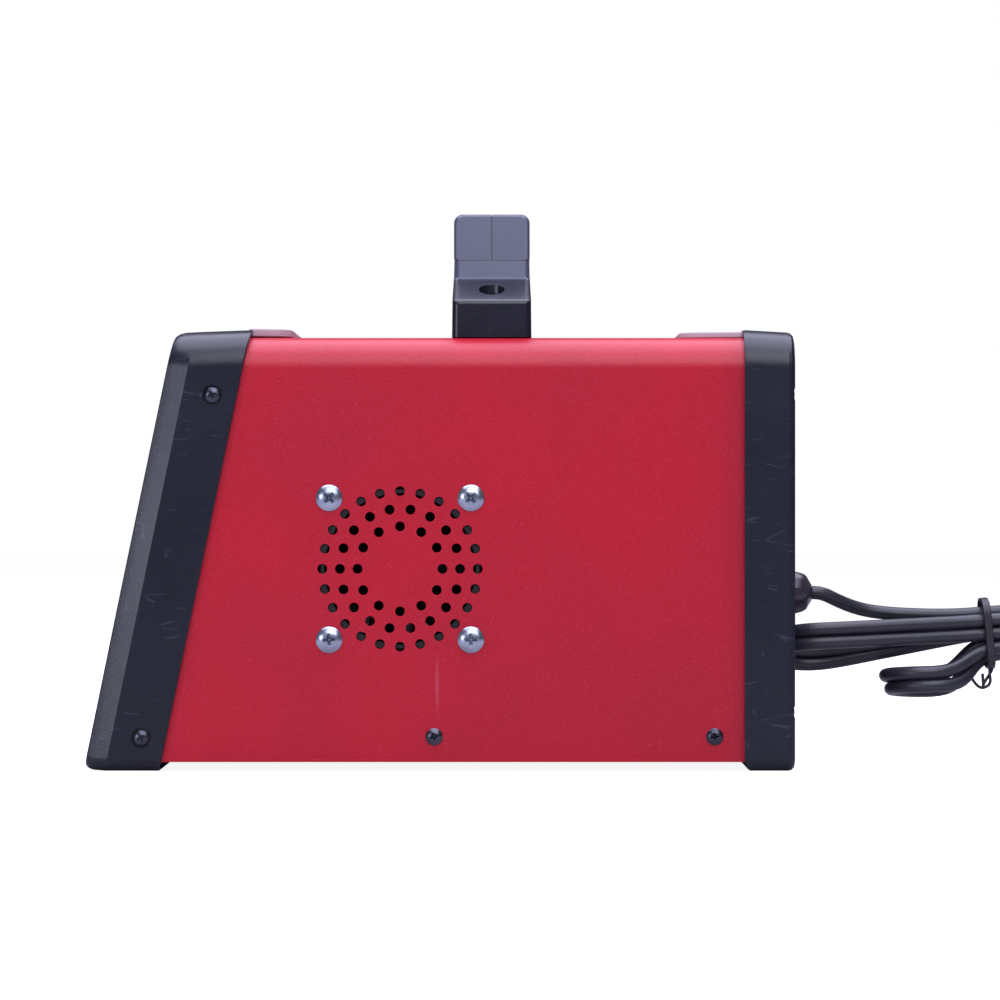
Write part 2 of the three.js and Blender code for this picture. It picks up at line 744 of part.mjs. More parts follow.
// An extruded comb of upright fins, lying across the case so that the fan blows along them.
function buildHeatsink(x, width, fins) {
  const { base, height, gap, front, rear } = heatsink;
  const pitch = width / fins;
  const outline = [[x, boardTop], [x + width, boardTop]];
  for (let i = fins - 1; i >= 0; i -= 1) {
    const right = x + (i + 1) * pitch - (i === fins - 1 ? 0 : pitch * gap);
    const left = x + i * pitch + (i === 0 ? 0 : pitch * gap);
    outline.push([right, boardTop + base], [right, boardTop + height]);
    outline.push([left, boardTop + height], [left, boardTop + base]);
  }
  return alongY(polygon(outline), front, rear);
}
add("heatsink_input", buildHeatsink(-78, 62, 7), "aluminium");
add("heatsink_output", buildHeatsink(-10, 66, 7), "aluminium");

// A ferrite core with two windows, and a winding that fills them round the middle leg.
const core = { x: -58, y: 18, width: 54, depth: 18, height: 44, leg: 8 };

function buildTransformerCore() {
  const { x, y, width, depth, height, leg } = core;
  const body = block(x, y + 10, boardTop, x + width, y + 10 + depth, boardTop + height);
  const middle = x + width / 2;
  const windows = [[x + leg, middle - leg], [middle + leg, x + width - leg]].map(([left, right]) =>
    block(left, y, boardTop + leg, right, y + 20 + depth, boardTop + height - leg),
  );
  return cut(body, ...windows);
}
add("transformer_core", buildTransformerCore(), "ferrite");

function buildTransformerWinding() {
  const { x, y, width, depth, height, leg } = core;
  const margin = 0.5;
  const middle = x + width / 2;
  const inner = roundedRect(
    middle - leg - margin, y + 10 - margin, middle + leg + margin, y + 10 + depth + margin, 0.5,
  );
  const reach = width / 2 - leg - margin;
  const outer = roundedRect(middle - reach, y + 2, middle + reach, y + 18 + depth, 7);
  const low = boardTop + leg + margin;
  const high = boardTop + height - leg - margin;
  return cut(alongZ(outer, low, high, 3), alongZ(inner, low - 1, high + 1, 1));
}
add("transformer_winding", buildTransformerWinding(), "copper");

const ring = turnedX([
  [0, choke.hole], [0, choke.radius - choke.round], [choke.round, choke.radius],
  [choke.height - choke.round, choke.radius], [choke.height, choke.radius - choke.round],
  [choke.height, choke.hole], [0, choke.hole],
], 20);
add("output_choke", ring.rotateY(-Math.PI / 2).translate(choke.x, choke.y, boardTop), "copper");

[0, 1].forEach((i) => {
  const { x, y, pitch, radius, height } = capacitor;
  const can = turnedX([[0, 0], [0, radius], [height - 1, radius], [height, radius - 1], [height, 0]], 20);
  add(
    `bus_capacitor_${i + 1}`,
    can.rotateY(-Math.PI / 2).translate(x, y + i * pitch, boardTop),
    "blackPlastic",
  );
});
add("rectifier_bridge", block(
  rectifier.x, rectifier.y, boardTop,
  rectifier.x + rectifier.size, rectifier.y + rectifier.size, boardTop + rectifier.height,
), "ferrite");

// Flat copper bars from the two sockets' tails down to the power board.
const socketTail = panelFront + (socket.back + 9) * Math.cos(lean) + socket.up * Math.sin(lean);
const socketZ = socket.up * Math.cos(lean) - (socket.back + 9) * Math.sin(lean);
["negative", "positive"].forEach((label, i) => {
  const y = (socketSides[i] * socket.spread) / 2;
  const { halfWidth, thickness, foot, gap } = busbar;
  const start = socketTail + gap;
  const bar = polygon([
    [start, socketZ + halfWidth], [start, boardTop + thickness], [start, boardTop],
    [start + foot, boardTop], [start + foot, boardTop + thickness],
    [start + thickness, boardTop + thickness], [start + thickness, socketZ + halfWidth],
  ]);
  add(`busbar_${label}`, alongY(bar, y - halfWidth, y + halfWidth), "copper");
});

// ---- mains cord: strain relief, tail, tied hank, loose end and plug ----

const glandEnd = rearPanelX + rearRecess + clearance + gland.reach;

function buildStrainRelief() {
  const { root, tip, y, z } = gland;
  const body = turnedX([
    [rearPanelX - 8, 0], [rearPanelX - 8, tip], [rearPanelX + clearance, tip],
    [rearPanelX + clearance, root + 1], [rearPanelX + 4, root + 1], [rearPanelX + 5, root],
    [glandEnd - 14, root - 1.2], [glandEnd - 5, tip + 0.4], [glandEnd - 1.5, tip - 1.6],
    [glandEnd, tip - 4], [glandEnd, 0],
  ], 20);
  return body.translate(0, y, z);
}
add("strain_relief", buildStrainRelief(), "softPlastic");

// The route is drawn for a rear face 179.5 from the middle, and moves with the real one.
const cordShift = rearX - 179.5;
const cordGroup = new THREE.Group();
cordGroup.position.x = cordShift;
inverter.add(cordGroup);

// A tube of the cord's diameter along hand-chosen points.
function cordTube(points, steps) {
  const curve = new THREE.CatmullRomCurve3(points.map((p) => new THREE.Vector3(...p)), false, "centripetal");
  const section = new THREE.Shape().absarc(0, 0, cordD / 2, 0, 2 * Math.PI);
  return new THREE.ExtrudeGeometry(section, {
    steps, curveSegments: 10, bevelEnabled: false, extrudePath: curve,
  });
}

const tailRoute = [
  [glandEnd + clearance - cordShift, -20, 88.6], [195.6, -20, 88.58], [199, -19.5, 87.8], [204, -18, 85.8],
  [208.4, -16, 83.4], [211.8, -14.2, 81.2],
];
add("cord_tail", cordTube(tailRoute, 8), "cordBlack", cordGroup);

// The hank: a side outline that leans over to the floor, met by a plan outline with a narrow waist.
const hank = { left: 167.9, right: 452, tie: 284, waist: 10.6, halfWidth: 25.6, y: -18 };

function hankSide() {
  const top = new THREE.SplineCurve([
    [214, 77], [232, 80.8], [262, 80.6], [284, 82.6], [302, 84.6], [330, 80.8], [360, 67.4],
    [388, 50.4], [415, 40.2], [440, 37],
  ].map(([x, z]) => new THREE.Vector2(x, z)));
  const bottom = new THREE.SplineCurve([
    [440, 0.4], [418, 1.4], [392, 6], [362, 18], [338, 38], [312, 50.6], [284, 52.2], [262, 44],
    [244, 34.6], [232, 32], [224, 33],
  ].map(([x, z]) => new THREE.Vector2(x, z)));
  return new THREE.Shape([
    new THREE.Vector2(hank.left, 74.8),
    new THREE.Vector2(206, 74.8),
    ...top.getPoints(16),
    new THREE.Vector2(hank.right, 37),
    new THREE.Vector2(hank.right, 0.4),
    ...bottom.getPoints(16),
    new THREE.Vector2(216, 40.6),
    new THREE.Vector2(hank.left, 40.6),
  ]);
}

// Half the hank's width at a place along it: two round-ended bulges with the waist between them.
function hankHalfWidth(x) {
  const reach = x < hank.tie ? hank.tie - hank.left : hank.right - hank.tie;
  const share = Math.min(Math.abs(x - hank.tie) / (reach - hank.halfWidth), 1);
  const bulge = share * share * (3 - 2 * share);
  return hank.waist + (hank.halfWidth - hank.waist) * bulge;
}

function hankPlan() {
  const near = [];
  const leftEnd = hank.left + hank.halfWidth;
  const rightEnd = hank.right - hank.halfWidth;
  for (let i = 0; i <= 12; i += 1) {
    const x = leftEnd + ((rightEnd - leftEnd) * i) / 12;
    near.push(new THREE.Vector2(x, hank.y - hankHalfWidth(x)));
  }
  for (let i = 1; i < 8; i += 1) {
    const angle = -Math.PI / 2 + (i * Math.PI) / 8;
    near.push(new THREE.Vector2(
      rightEnd + hank.halfWidth * Math.cos(angle),
      hank.y + hank.halfWidth * Math.sin(angle),
    ));
  }
  for (let i = 12; i >= 0; i -= 1) {
    const x = leftEnd + ((rightEnd - leftEnd) * i) / 12;
    near.push(new THREE.Vector2(x, hank.y + hankHalfWidth(x)));
  }
  for (let i = 1; i < 8; i += 1) {
    const angle = Math.PI / 2 + (i * Math.PI) / 8;
    near.push(new THREE.Vector2(
      leftEnd + hank.halfWidth * Math.cos(angle),
      hank.y + hank.halfWidth * Math.sin(angle),
    ));
  }
  return new THREE.Shape(near);
}

function buildHank() {
  const width = hank.halfWidth + 1;
  const side = alongY(hankSide(), hank.y - width, hank.y + width);
  return common(side, alongZ(hankPlan(), -5, 120));
}
add("cord_hank", buildHank(), "cordBlack", cordGroup);

// A flat wire tie round the waist, tilted with the hank.
const tie = { z: 67.4, halfWidth: 12.6, halfHeight: 18.2, wall: 1.2, width: 9 };

function buildTie() {
  const { z, halfWidth, halfHeight, wall, width } = tie;
  const outer = roundedRect(-halfWidth, -halfHeight, halfWidth, halfHeight, 2);
  const inner = roundedRect(-halfWidth + wall, -halfHeight + wall, halfWidth - wall, halfHeight - wall, 0.8);
  const ring = cut(alongX(outer, -width / 2, width / 2), alongX(inner, -width, width));
  return ring.rotateY(-0.1).translate(hank.tie, hank.y, z);
}
add("cord_tie", buildTie(), "cordBlack", cordGroup);

// The loose end turns back along the floor to the plug, which lies beside the hank.
const endRoute = [
  [hank.right + clearance, -8, 3.9], [462, -6.4, 3.8], [474, 0.4, 3.8], [484, 11, 3.8], [489.6, 25, 4.4],
  [488, 40, 6.6], [479, 52.6, 10], [465.6, 60, 14], [454, 62.8, 16.9], [447, 63, 18], [443.2, 63, 18.1],
];
add("cord_end", cordTube(endRoute, 14), "cordBlack", cordGroup);

const plug = {
  x: 442.7, y: 63, z: 18.6, radius: 18.2, boot: 26, body: 34, pin: 19, pinRadius: 2.4, spread: 19,
};

function buildPlug() {
  const { boot, body, radius } = plug;
  const profile = turnedX([
    [-boot - body, 0], [-boot - body, radius - 1], [-boot - body + 1, radius], [-boot - 14, radius],
    [-boot - 4, radius - 5], [-boot, 8], [-boot, 6.4], [0, 4.8], [0, 0],
  ], 20);
  const pinHoles = [-1, 1].map((side) =>
    rodX(-boot - body - 2, -boot - body + 6, plug.pinRadius + clearance, 10)
      .translate(0, (side * plug.spread) / 2, 0),
  );
  return cut(profile, ...pinHoles).translate(plug.x, plug.y, plug.z);
}
add("power_plug", buildPlug(), "cordBlack", cordGroup);

[-1, 1].forEach((side, i) => {
  const face = -plug.boot - plug.body;
  const pin = turnedX([
    [face - plug.pin, 0], [face - plug.pin, plug.pinRadius - 1], [face - plug.pin + 1, plug.pinRadius],
    [face + 5.7, plug.pinRadius], [face + 5.7, 0],
  ], 10);
  const y = plug.y + (side * plug.spread) / 2;
  add(`plug_pin_${i + 1}`, pin.translate(plug.x, y, plug.z), "brass", cordGroup);
});

export default inverter;
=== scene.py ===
import json
import math

import bmesh
import bpy
from mathutils import Matrix, Vector

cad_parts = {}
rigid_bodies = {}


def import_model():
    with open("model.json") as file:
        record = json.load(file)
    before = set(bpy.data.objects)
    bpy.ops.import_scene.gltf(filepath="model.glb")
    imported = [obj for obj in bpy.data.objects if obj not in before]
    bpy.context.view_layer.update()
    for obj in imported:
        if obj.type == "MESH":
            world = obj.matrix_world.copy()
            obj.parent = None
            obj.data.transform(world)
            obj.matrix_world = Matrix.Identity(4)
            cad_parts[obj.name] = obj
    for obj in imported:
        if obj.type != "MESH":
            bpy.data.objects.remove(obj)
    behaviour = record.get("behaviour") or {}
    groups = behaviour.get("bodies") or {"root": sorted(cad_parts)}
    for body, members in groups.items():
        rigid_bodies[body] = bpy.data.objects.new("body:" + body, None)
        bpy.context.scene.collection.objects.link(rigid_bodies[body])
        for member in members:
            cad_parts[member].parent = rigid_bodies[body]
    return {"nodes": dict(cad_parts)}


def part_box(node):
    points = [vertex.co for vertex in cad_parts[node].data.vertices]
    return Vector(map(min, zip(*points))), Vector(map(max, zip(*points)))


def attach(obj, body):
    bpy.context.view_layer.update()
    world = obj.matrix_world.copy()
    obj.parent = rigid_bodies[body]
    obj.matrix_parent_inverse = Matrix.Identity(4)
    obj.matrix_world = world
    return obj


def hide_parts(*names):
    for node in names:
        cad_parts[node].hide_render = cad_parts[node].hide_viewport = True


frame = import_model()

for leftover in [o for o in bpy.data.objects if o.name in ("Cube", "Light", "Camera")]:
    bpy.data.objects.remove(leftover)  # what a new file starts with
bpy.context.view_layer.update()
mm = 0.001  # shapes are drawn in millimetres and scaled as each piece is finished


def boxOf(node):  # lowest and highest corner of a CAD node, in millimetres
    low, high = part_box(node)
    return Vector(low) / mm, Vector(high) / mm


coverLow, coverHigh = boxOf("cover")
frontLow = boxOf("front_bezel")[0]
rearHigh = boxOf("rear_bezel")[1]
handleLow, handleHigh = boxOf("handle_bridge")
gripLow, gripHigh = boxOf("handle_grip_front")
fanLow, fanHigh = boxOf("fan_frame")

# sizes that several pieces share
case = {
    "top": coverHigh.z,
    "low": coverLow.z,
    "half": coverHigh.y,
    "sheet": 1.2,
    "bend": 16.0,
    "lean": math.radians(11.7),
    "front": frontLow.x,  # foot of the leaning front
    "rear": rearHigh.x,
    "proud": 3.0,  # the end frames stand this far out from the cover
    "boltY": 57.0,  # the handle's bolts stand this far from the middle
}
slope = math.tan(case["lean"])
panelFront = case["front"] + 17.3
rearPanelX = case["rear"] - 12.8
fanCentre = (fanLow + fanHigh) / 2

# camera

view = {"x": 30.7, "z": 136.7, "distance": 2000.0, "sidePlane": -86.0, "frameWidth": 503.5}
camera = bpy.data.objects.new("camera", bpy.data.cameras.new("camera"))
bpy.context.scene.collection.objects.link(camera)
camera.location = Vector((view["x"], view["sidePlane"] - view["distance"], view["z"])) * mm
camera.rotation_euler = (math.radians(90), 0, 0)
camera.data.lens = camera.data.sensor_width * view["distance"] / view["frameWidth"]
bpy.context.scene.camera = camera
print("camera placed")


# materials: each finish is built from shader nodes in metres

def linear(hexColour):  # sRGB hex to the linear values that shaders take
    parts = [int(hexColour[i:i + 2], 16) / 255 for i in (1, 3, 5)]
    return [c / 12.92 if c <= 0.04045 else ((c + 0.055) / 1.055) ** 2.4 for c in parts] + [1.0]


def addNode(tree, kind, inputs=None, output=0, **settings):  # an input is a value, or a socket to link
    node = tree.nodes.new(kind)
    for key, value in settings.items():
        setattr(node, key, value)
    for key, value in (inputs or {}).items():
        if isinstance(value, bpy.types.NodeSocket):
            tree.links.new(value, node.inputs[key])
        else:
            node.inputs[key].default_value = value
    return node.outputs[output]


def startMaterial(name, colour, roughness, metallic=0.0, ior=1.5, specular=0.5):
    material = bpy.data.materials.new(name)
    material.use_nodes = True
    tree = material.node_tree
    shader = tree.nodes["Principled BSDF"]
    shader.inputs["Base Color"].default_value = linear(colour)
    shader.inputs["Roughness"].default_value = roughness
    shader.inputs["Metallic"].default_value = metallic
    shader.inputs["IOR"].default_value = ior
    shader.inputs["Specular IOR Level"].default_value = specular
    place = addNode(tree, "ShaderNodeTexCoord", output=3)
    return material, tree, shader, place


def hairlines(tree, place, spacing, width, stretch):  # sparse scratches: 1 on a line, 0 elsewhere
    stretched = addNode(tree, "ShaderNodeMapping", {
        "Vector": place, "Rotation": (0.02, 0.05, 0.02), "Scale": stretch,
    })
    edge = addNode(tree, "ShaderNodeTexVoronoi", {
        "Vector": stretched, "Scale": 1 / spacing,
    }, feature="DISTANCE_TO_EDGE")
    line = addNode(tree, "ShaderNodeMapRange", {
        "Value": edge, "From Min": 0.0, "From Max": width / spacing, "To Min": 1.0, "To Max": 0.0,
    })
    field = addNode(tree, "ShaderNodeTexNoise", {"Vector": place, "Scale": 0.8 / spacing, "Detail": 2.0})
    patch = addNode(tree, "ShaderNodeMapRange", {"Value": field, "From Min": 0.56, "From Max": 0.66})
    return addNode(tree, "ShaderNodeMath", {0: line, 1: patch}, operation="MULTIPLY")


# Polyester powder coat baked on steel: an even saturated red, satin, with 1 mm orange peel. The fine
# light flecks are real ones of 0.2 mm drawn at 0.9 mm. One pale rub mark is low on the fan side, and
# close to the rear frame the red is darkened with painted shade for the shadow of the frame's lip.
def redPowderCoat():
    material, tree, shader, place = startMaterial(
        "red polyester powder coat", "#b70a26", 0.36, specular=0.44,
    )
    peel = addNode(tree, "ShaderNodeTexNoise", {"Vector": place, "Scale": 1 / 0.0012, "Detail": 2.0})
    fleck = addNode(tree, "ShaderNodeTexNoise", {"Vector": place, "Scale": 1 / 0.0009, "Detail": 1.0})
    cloud = addNode(tree, "ShaderNodeTexNoise", {"Vector": place, "Scale": 1 / 0.09, "Detail": 2.0})
    fleckShare = addNode(tree, "ShaderNodeMapRange", {"Value": fleck, "From Min": 0.6, "From Max": 0.8})
    cloudShare = addNode(tree, "ShaderNodeMapRange", {"Value": cloud, "From Min": 0.35, "From Max": 0.7})
    tone = addNode(tree, "ShaderNodeMix", {
        "Factor": cloudShare, 6: linear("#b80a26"), 7: linear("#ad0a26"),
    }, 2, data_type="RGBA")
    tone = addNode(tree, "ShaderNodeMix", {
        "Factor": fleckShare, 6: tone, 7: linear("#c02840"),
    }, 2, data_type="RGBA")
    along = addNode(tree, "ShaderNodeSeparateXYZ", {0: place})
    # painted shade: the red darkens over the last 15 mm before the rear frame, for the shadow of the
    # frame's lip
    paintedShadeShare = addNode(tree, "ShaderNodeMapRange", {
        "Value": along, "From Min": 0.141, "From Max": 0.156, "To Max": 0.35,
    })
    tone = addNode(tree, "ShaderNodeMix", {
        "Factor": paintedShadeShare, 6: tone, 7: linear("#7c0f22"),
    }, 2, data_type="RGBA")
    markPlace = addNode(tree, "ShaderNodeMapping", {
        "Vector": place, "Location": (-0.001, -0.084, 0.043), "Scale": (0.0014, 0.01, 0.017),
    }, vector_type="TEXTURE")
    mark = addNode(tree, "ShaderNodeTexGradient", {"Vector": markPlace}, 1, gradient_type="SPHERICAL")
    markShare = addNode(tree, "ShaderNodeMath", {0: mark, 1: fleck}, operation="MULTIPLY")
    lines = hairlines(tree, place, 0.09, 0.0003, (1, 1, 0.12))
    lineShare = addNode(tree, "ShaderNodeMath", {0: lines, 1: 0.07}, operation="MULTIPLY")
    worn = addNode(tree, "ShaderNodeMath", {0: markShare, 1: lineShare}, operation="MAXIMUM")
    tone = addNode(tree, "ShaderNodeMix", {
        "Factor": worn, 6: tone, 7: linear("#c8586c"),
    }, 2, data_type="RGBA")
    sheen = addNode(tree, "ShaderNodeMapRange", {"Value": cloud, "To Min": 0.33, "To Max": 0.4})
    relief = addNode(tree, "ShaderNodeBump", {"Height": peel, "Strength": 0.25, "Distance": 0.0003})
    tree.links.new(tone, shader.inputs["Base Color"])
    tree.links.new(sheen, shader.inputs["Roughness"])
    tree.links.new(relief, shader.inputs["Normal"])
    return material


# Injection-moulded ABS from a spark-eroded mould: near black with a cool cast and a fine grain. Short
# pale rubs run across it where cartons and screwdrivers have touched.
def mouldedAbs(name, colour, pale, roughness, rubs, paintedHighlight=None):
    material, tree, shader, place = startMaterial(name, colour, roughness, ior=1.54, specular=0.42)
    grain = addNode(tree, "ShaderNodeTexNoise", {"Vector": place, "Scale": 1 / 0.0008, "Detail": 2.0})
    cloud = addNode(tree, "ShaderNodeTexNoise", {"Vector": place, "Scale": 1 / 0.05, "Detail": 3.0})
    cloudShare = addNode(tree, "ShaderNodeMapRange", {"Value": cloud, "From Min": 0.3, "From Max": 0.75})
    tone = addNode(tree, "ShaderNodeMix", {
        "Factor": cloudShare, 6: linear(colour), 7: linear(pale),
    }, 2, data_type="RGBA")
    lines = hairlines(tree, place, 0.008, 0.00025, (0.2, 1, 1))
    rubShare = addNode(tree, "ShaderNodeMath", {0: lines, 1: rubs}, operation="MULTIPLY")
    tone = addNode(tree, "ShaderNodeMix", {
        "Factor": rubShare, 6: tone, 7: linear("#8a8ea0"),
    }, 2, data_type="RGBA")
    if paintedHighlight:  # painted highlight: paler above this height, for the light that the top of the handle reflects
        height = addNode(tree, "ShaderNodeSeparateXYZ", {0: place}, 2)
        share = addNode(tree, "ShaderNodeMapRange", {
            "Value": height, "From Min": paintedHighlight["from"], "From Max": paintedHighlight["to"],
        })
        tone = addNode(tree, "ShaderNodeMix", {
            "Factor": share, 6: tone, 7: linear(paintedHighlight["colour"]),
        }, 2, data_type="RGBA")
    sheen = addNode(tree, "ShaderNodeMapRange", {
        "Value": cloud, "To Min": roughness - 0.05, "To Max": roughness + 0.06,
    })
    relief = addNode(tree, "ShaderNodeBump", {"Height": grain, "Strength": 0.2, "Distance": 0.0003})
    tree.links.new(tone, shader.inputs["Base Color"])
    tree.links.new(sheen, shader.inputs["Roughness"])
    tree.links.new(relief, shader.inputs["Normal"])
    return material


# Solid colours that are clouded by a second tone, with a fine skin: vinyl, ferrite, lenses, ink,
# powder coat and, with metallic at 1, plated and bare metals that dull in patches.
def cloudedFinish(name, colour, second, roughness, grain, relief, metallic=0.0, ior=1.5):
    material, tree, shader, place = startMaterial(name, colour, roughness, metallic, ior)
    cloud = addNode(tree, "ShaderNodeTexNoise", {"Vector": place, "Scale": 0.1 / grain, "Detail": 3.0})
    skin = addNode(tree, "ShaderNodeTexNoise", {"Vector": place, "Scale": 1 / grain, "Detail": 2.0})
    share = addNode(tree, "ShaderNodeMapRange", {"Value": cloud, "From Min": 0.3, "From Max": 0.75})
    tone = addNode(tree, "ShaderNodeMix", {
        "Factor": share, 6: linear(colour), 7: linear(second),
    }, 2, data_type="RGBA")
    sheen = addNode(tree, "ShaderNodeMapRange", {
        "Value": cloud, "To Min": roughness - 0.05, "To Max": roughness + 0.06,
    })
    bump = addNode(tree, "ShaderNodeBump", {"Height": skin, "Strength": relief, "Distance": 0.0003})
    tree.links.new(tone, shader.inputs["Base Color"])
    tree.links.new(sheen, shader.inputs["Roughness"])
    tree.links.new(bump, shader.inputs["Normal"])
    return material


# Glass-fibre laminate under green solder mask: copper tracks 3 mm apart show as paler stripes.
def circuitBoard():
    material, tree, shader, place = startMaterial("solder-masked glass-fibre laminate", "#14502f", 0.35)
    tracks = addNode(tree, "ShaderNodeTexBrick", {
        "Vector": place, "Color1": linear("#1b6a3f"), "Color2": linear("#14502f"),
        "Mortar": linear("#0d3a22"), "Scale": 60.0, "Mortar Size": 0.03,
    })
    tree.links.new(tracks, shader.inputs["Base Color"])
    return material


finishes = {
    "red": redPowderCoat(),
    "abs": mouldedAbs("moulded black ABS", "#0f1220", "#151827", 0.31, 0.13),
    # the grip carries a painted highlight: paler above 249.4 mm, for the light reflected from above on the
    # handle's top
    "grip": mouldedAbs("moulded glass-filled nylon", "#12111f", "#181727", 0.27, 0.08,
                       {"from": 0.2494, "to": 0.2508, "colour": "#484c60"}),
    # unpolished polyester: deep matt black in the guard's shade
    "fan": mouldedAbs("moulded PBT", "#050507", "#08080a", 0.55, 0.0),
    # polished mould: a glossier, warmer grey-black dome
    "gland": mouldedAbs("moulded polyamide", "#332c39", "#3d3542", 0.2, 0.0),
    # the thin lips are unfilled plastic; their pale grey-pink colour is a painted reflection of the white
    # surroundings
    "lip": mouldedAbs("unfilled ABS with painted reflection", "#a8969f", "#b8a8b0", 0.45, 0.2),
    # stoved matt black on the folded panels: soot black, a little coarser than the cover
    "blackSteel": cloudedFinish("black powder coat", "#15161a", "#212228", 0.5, 0.001, 0.35),
    # a clear blue passivate over bright plate: silver with a faint blue cast
    "zinc": cloudedFinish("bright zinc plate", "#b4bccb", "#8f98aa", 0.27, 0.0012, 0.05, 1.0),
    # black oxide: a thin dark skin that still shines like steel
    "blackScrew": cloudedFinish("black oxide steel", "#5c5c68", "#3c3c46", 0.3, 0.001, 0.08, 1.0),
    # bare metals, dulled in patches by handling and by the air
    "brass": cloudedFinish("turned brass", "#d0a95a", "#a88440", 0.28, 0.0012, 0.04, 1.0),
    "copper": cloudedFinish("enamelled copper", "#c77a52", "#9a563a", 0.34, 0.0015, 0.05, 1.0),
    "aluminium": cloudedFinish("extruded aluminium", "#c2c6cb", "#a7abb1", 0.4, 0.0015, 0.05, 1.0),
    "nickel": cloudedFinish("nickel plate", "#d2d0c8", "#b5b3ab", 0.22, 0.0012, 0.03, 1.0),
    "board": circuitBoard(),
    # pressed powder: dead matt and slightly rough
    "ferrite": cloudedFinish("sintered ferrite", "#37383c", "#2a2b2f", 0.7, 0.0012, 0.3),
    # heat-shrunk film: dark blue and glossy
    "sleeve": cloudedFinish("shrunk vinyl sleeve", "#161c33", "#1c2440", 0.25, 0.002, 0.05),
    # extruded soft vinyl: dark grey, low sheen, faintly dusty
    "pvc": cloudedFinish("extruded vinyl sheath", "#24242d", "#2e2e38", 0.36, 0.0009, 0.12, ior=1.53),
    # the same vinyl moulded in a sand-blasted tool: duller than the sheath
    "plugPvc": cloudedFinish("moulded vinyl", "#1b1b22", "#25252e", 0.45, 0.0008, 0.2, ior=1.53),
    # screen-printed: flat off-white
    "ink": cloudedFinish("white legend ink", "#e6e6e2", "#d2d2cc", 0.5, 0.0008, 0.05),
    # clear acrylic with a dye: saturated, with a sharp highlight
    "green": cloudedFinish("green tinted acrylic", "#1f9a4a", "#25b257", 0.12, 0.003, 0.02, ior=1.49),
    "amber": cloudedFinish("amber tinted acrylic", "#d98f1c", "#eba42c", 0.12, 0.003, 0.02, ior=1.49),
}
print("materials made:", len(finishes))


# helpers that build meshes in millimetres

# Points round a flat outline whose corners are (a, b, radius), always in the same order.
def roundedOutline(corners, steps=8):
    bm = bmesh.new()
    bm.faces.new([bm.verts.new((a, b, 0)) for a, b, radius in corners])
    for a, b, radius in corners:
        corner = min(bm.verts, key=lambda v: (v.co - Vector((a, b, 0))).length)
        bmesh.ops.bevel(
            bm, geom=[corner], offset=radius, segments=steps, affect="VERTICES", profile=0.5, material=-1,
        )
    points = [tuple(v.co.xy) for v in list(bm.faces)[0].verts]
    bm.free()
    return points


def roundedRect(aLow, aHigh, bLow, bHigh, lowRadius, highRadius, steps=8):
    return roundedOutline([
        (aLow, bLow, lowRadius), (aHigh, bLow, lowRadius),
        (aHigh, bHigh, highRadius), (aLow, bHigh, highRadius),
    ], steps)


# A skin through equally long rows of points. A closed one ends on the row that it starts from.
def loft(bm, rows, closed=False):
    row = [bm.verts.new(point) for point in rows[0]]
    made = list(row)
    edges = [bm.edges.new(pair) for pair in zip(row, row[1:] + row[:1])]
    if not closed:
        bmesh.ops.edgeloop_fill(bm, edges=edges)
    for points in rows[1:]:
        pulled = bmesh.ops.extrude_edge_only(bm, edges=edges)["geom"]
        fresh = {g for g in pulled if isinstance(g, bmesh.types.BMVert)}
        edges = [g for g in pulled if isinstance(g, bmesh.types.BMEdge) and set(g.verts) <= fresh]
        row = [next(e.other_vert(v) for e in v.link_edges if e.other_vert(v) in fresh) for v in row]
        for vert, point in zip(row, points):
            vert.co = point
        made += row
    if closed:
        bmesh.ops.remove_doubles(bm, verts=made, dist=0.001)
    else:
        bmesh.ops.edgeloop_fill(bm, edges=edges)


# A turned solid from (along, radius) pairs; its axis is +X before it is placed.
def turned(bm, profile, steps=48):
    before = set(bm.verts)
    verts = [bm.verts.new((along, 0, radius)) for along, radius in profile]
    edges = [bm.edges.new(pair) for pair in zip(verts, verts[1:])]
    bmesh.ops.spin(
        bm, geom=verts + edges, cent=(0, 0, 0), axis=(1, 0, 0),
        angle=math.tau, steps=steps, use_merge=True, use_duplicate=False,
    )
    made = [v for v in bm.verts if v not in before]
    bmesh.ops.remove_doubles(bm, verts=made, dist=0.002)
    return [v for v in bm.verts if v not in before]


def addBlock(bm, low, high):
    made = bmesh.ops.create_cube(bm, size=1)["verts"]
    low, high = Vector(low), Vector(high)
    for vert in made:
        vert.co = Vector([h if c > 0 else l for c, l, h in zip(vert.co, low, high)])
    return made


def addRod(bm, middle, radius, length, axis="Y", segments=32):
    turn = {
        "X": Matrix.Rotation(math.pi / 2, 4, "Y"), "Y": Matrix.Rotation(math.pi / 2, 4, "X"), "Z": Matrix(),
    }
    bmesh.ops.create_cone(
        bm, cap_ends=True, segments=segments, radius1=radius, radius2=radius, depth=length,
        matrix=Matrix.Translation(middle) @ turn[axis],
    )


def moved(bm, matrix, verts=None):
    bmesh.ops.transform(bm, matrix=matrix, verts=verts or bm.verts)


def tubeAlong(bm, line, radius, segments=10):  # a round strand through the points, closed at its ends
    circle = [Vector((radius * math.cos(t), radius * math.sin(t), 0)) for t in
              [i * math.tau / segments for i in range(segments)]]
    rows = []
    for before, here, after in zip(line[:1] + line, line, line[1:] + line[-1:]):
        facing = (after - before).to_track_quat("Z", "Y").to_matrix()
        rows.append([here + facing @ point for point in circle])
    loft(bm, rows)


def onPanel(y, up):  # from a piece drawn about -X to its place on the leaning panel
    return (
        Matrix.Translation((panelFront, 0, 0))
        @ Matrix.Rotation(case["lean"], 4, "Y")
        @ Matrix.Translation((0, y, up))
    )


leanBack = Matrix(((1, 0, slope, 0), (0, 1, 0, 0), (0, 0, 1, 0), (0, 0, 0, 1)))


def meshFrom(bm, name):
    bmesh.ops.remove_doubles(bm, verts=bm.verts, dist=0.001)
    bmesh.ops.recalc_face_normals(bm, faces=bm.faces)
    mesh = bpy.data.meshes.new(name)
    bm.to_mesh(mesh)
    bm.free()
    return mesh


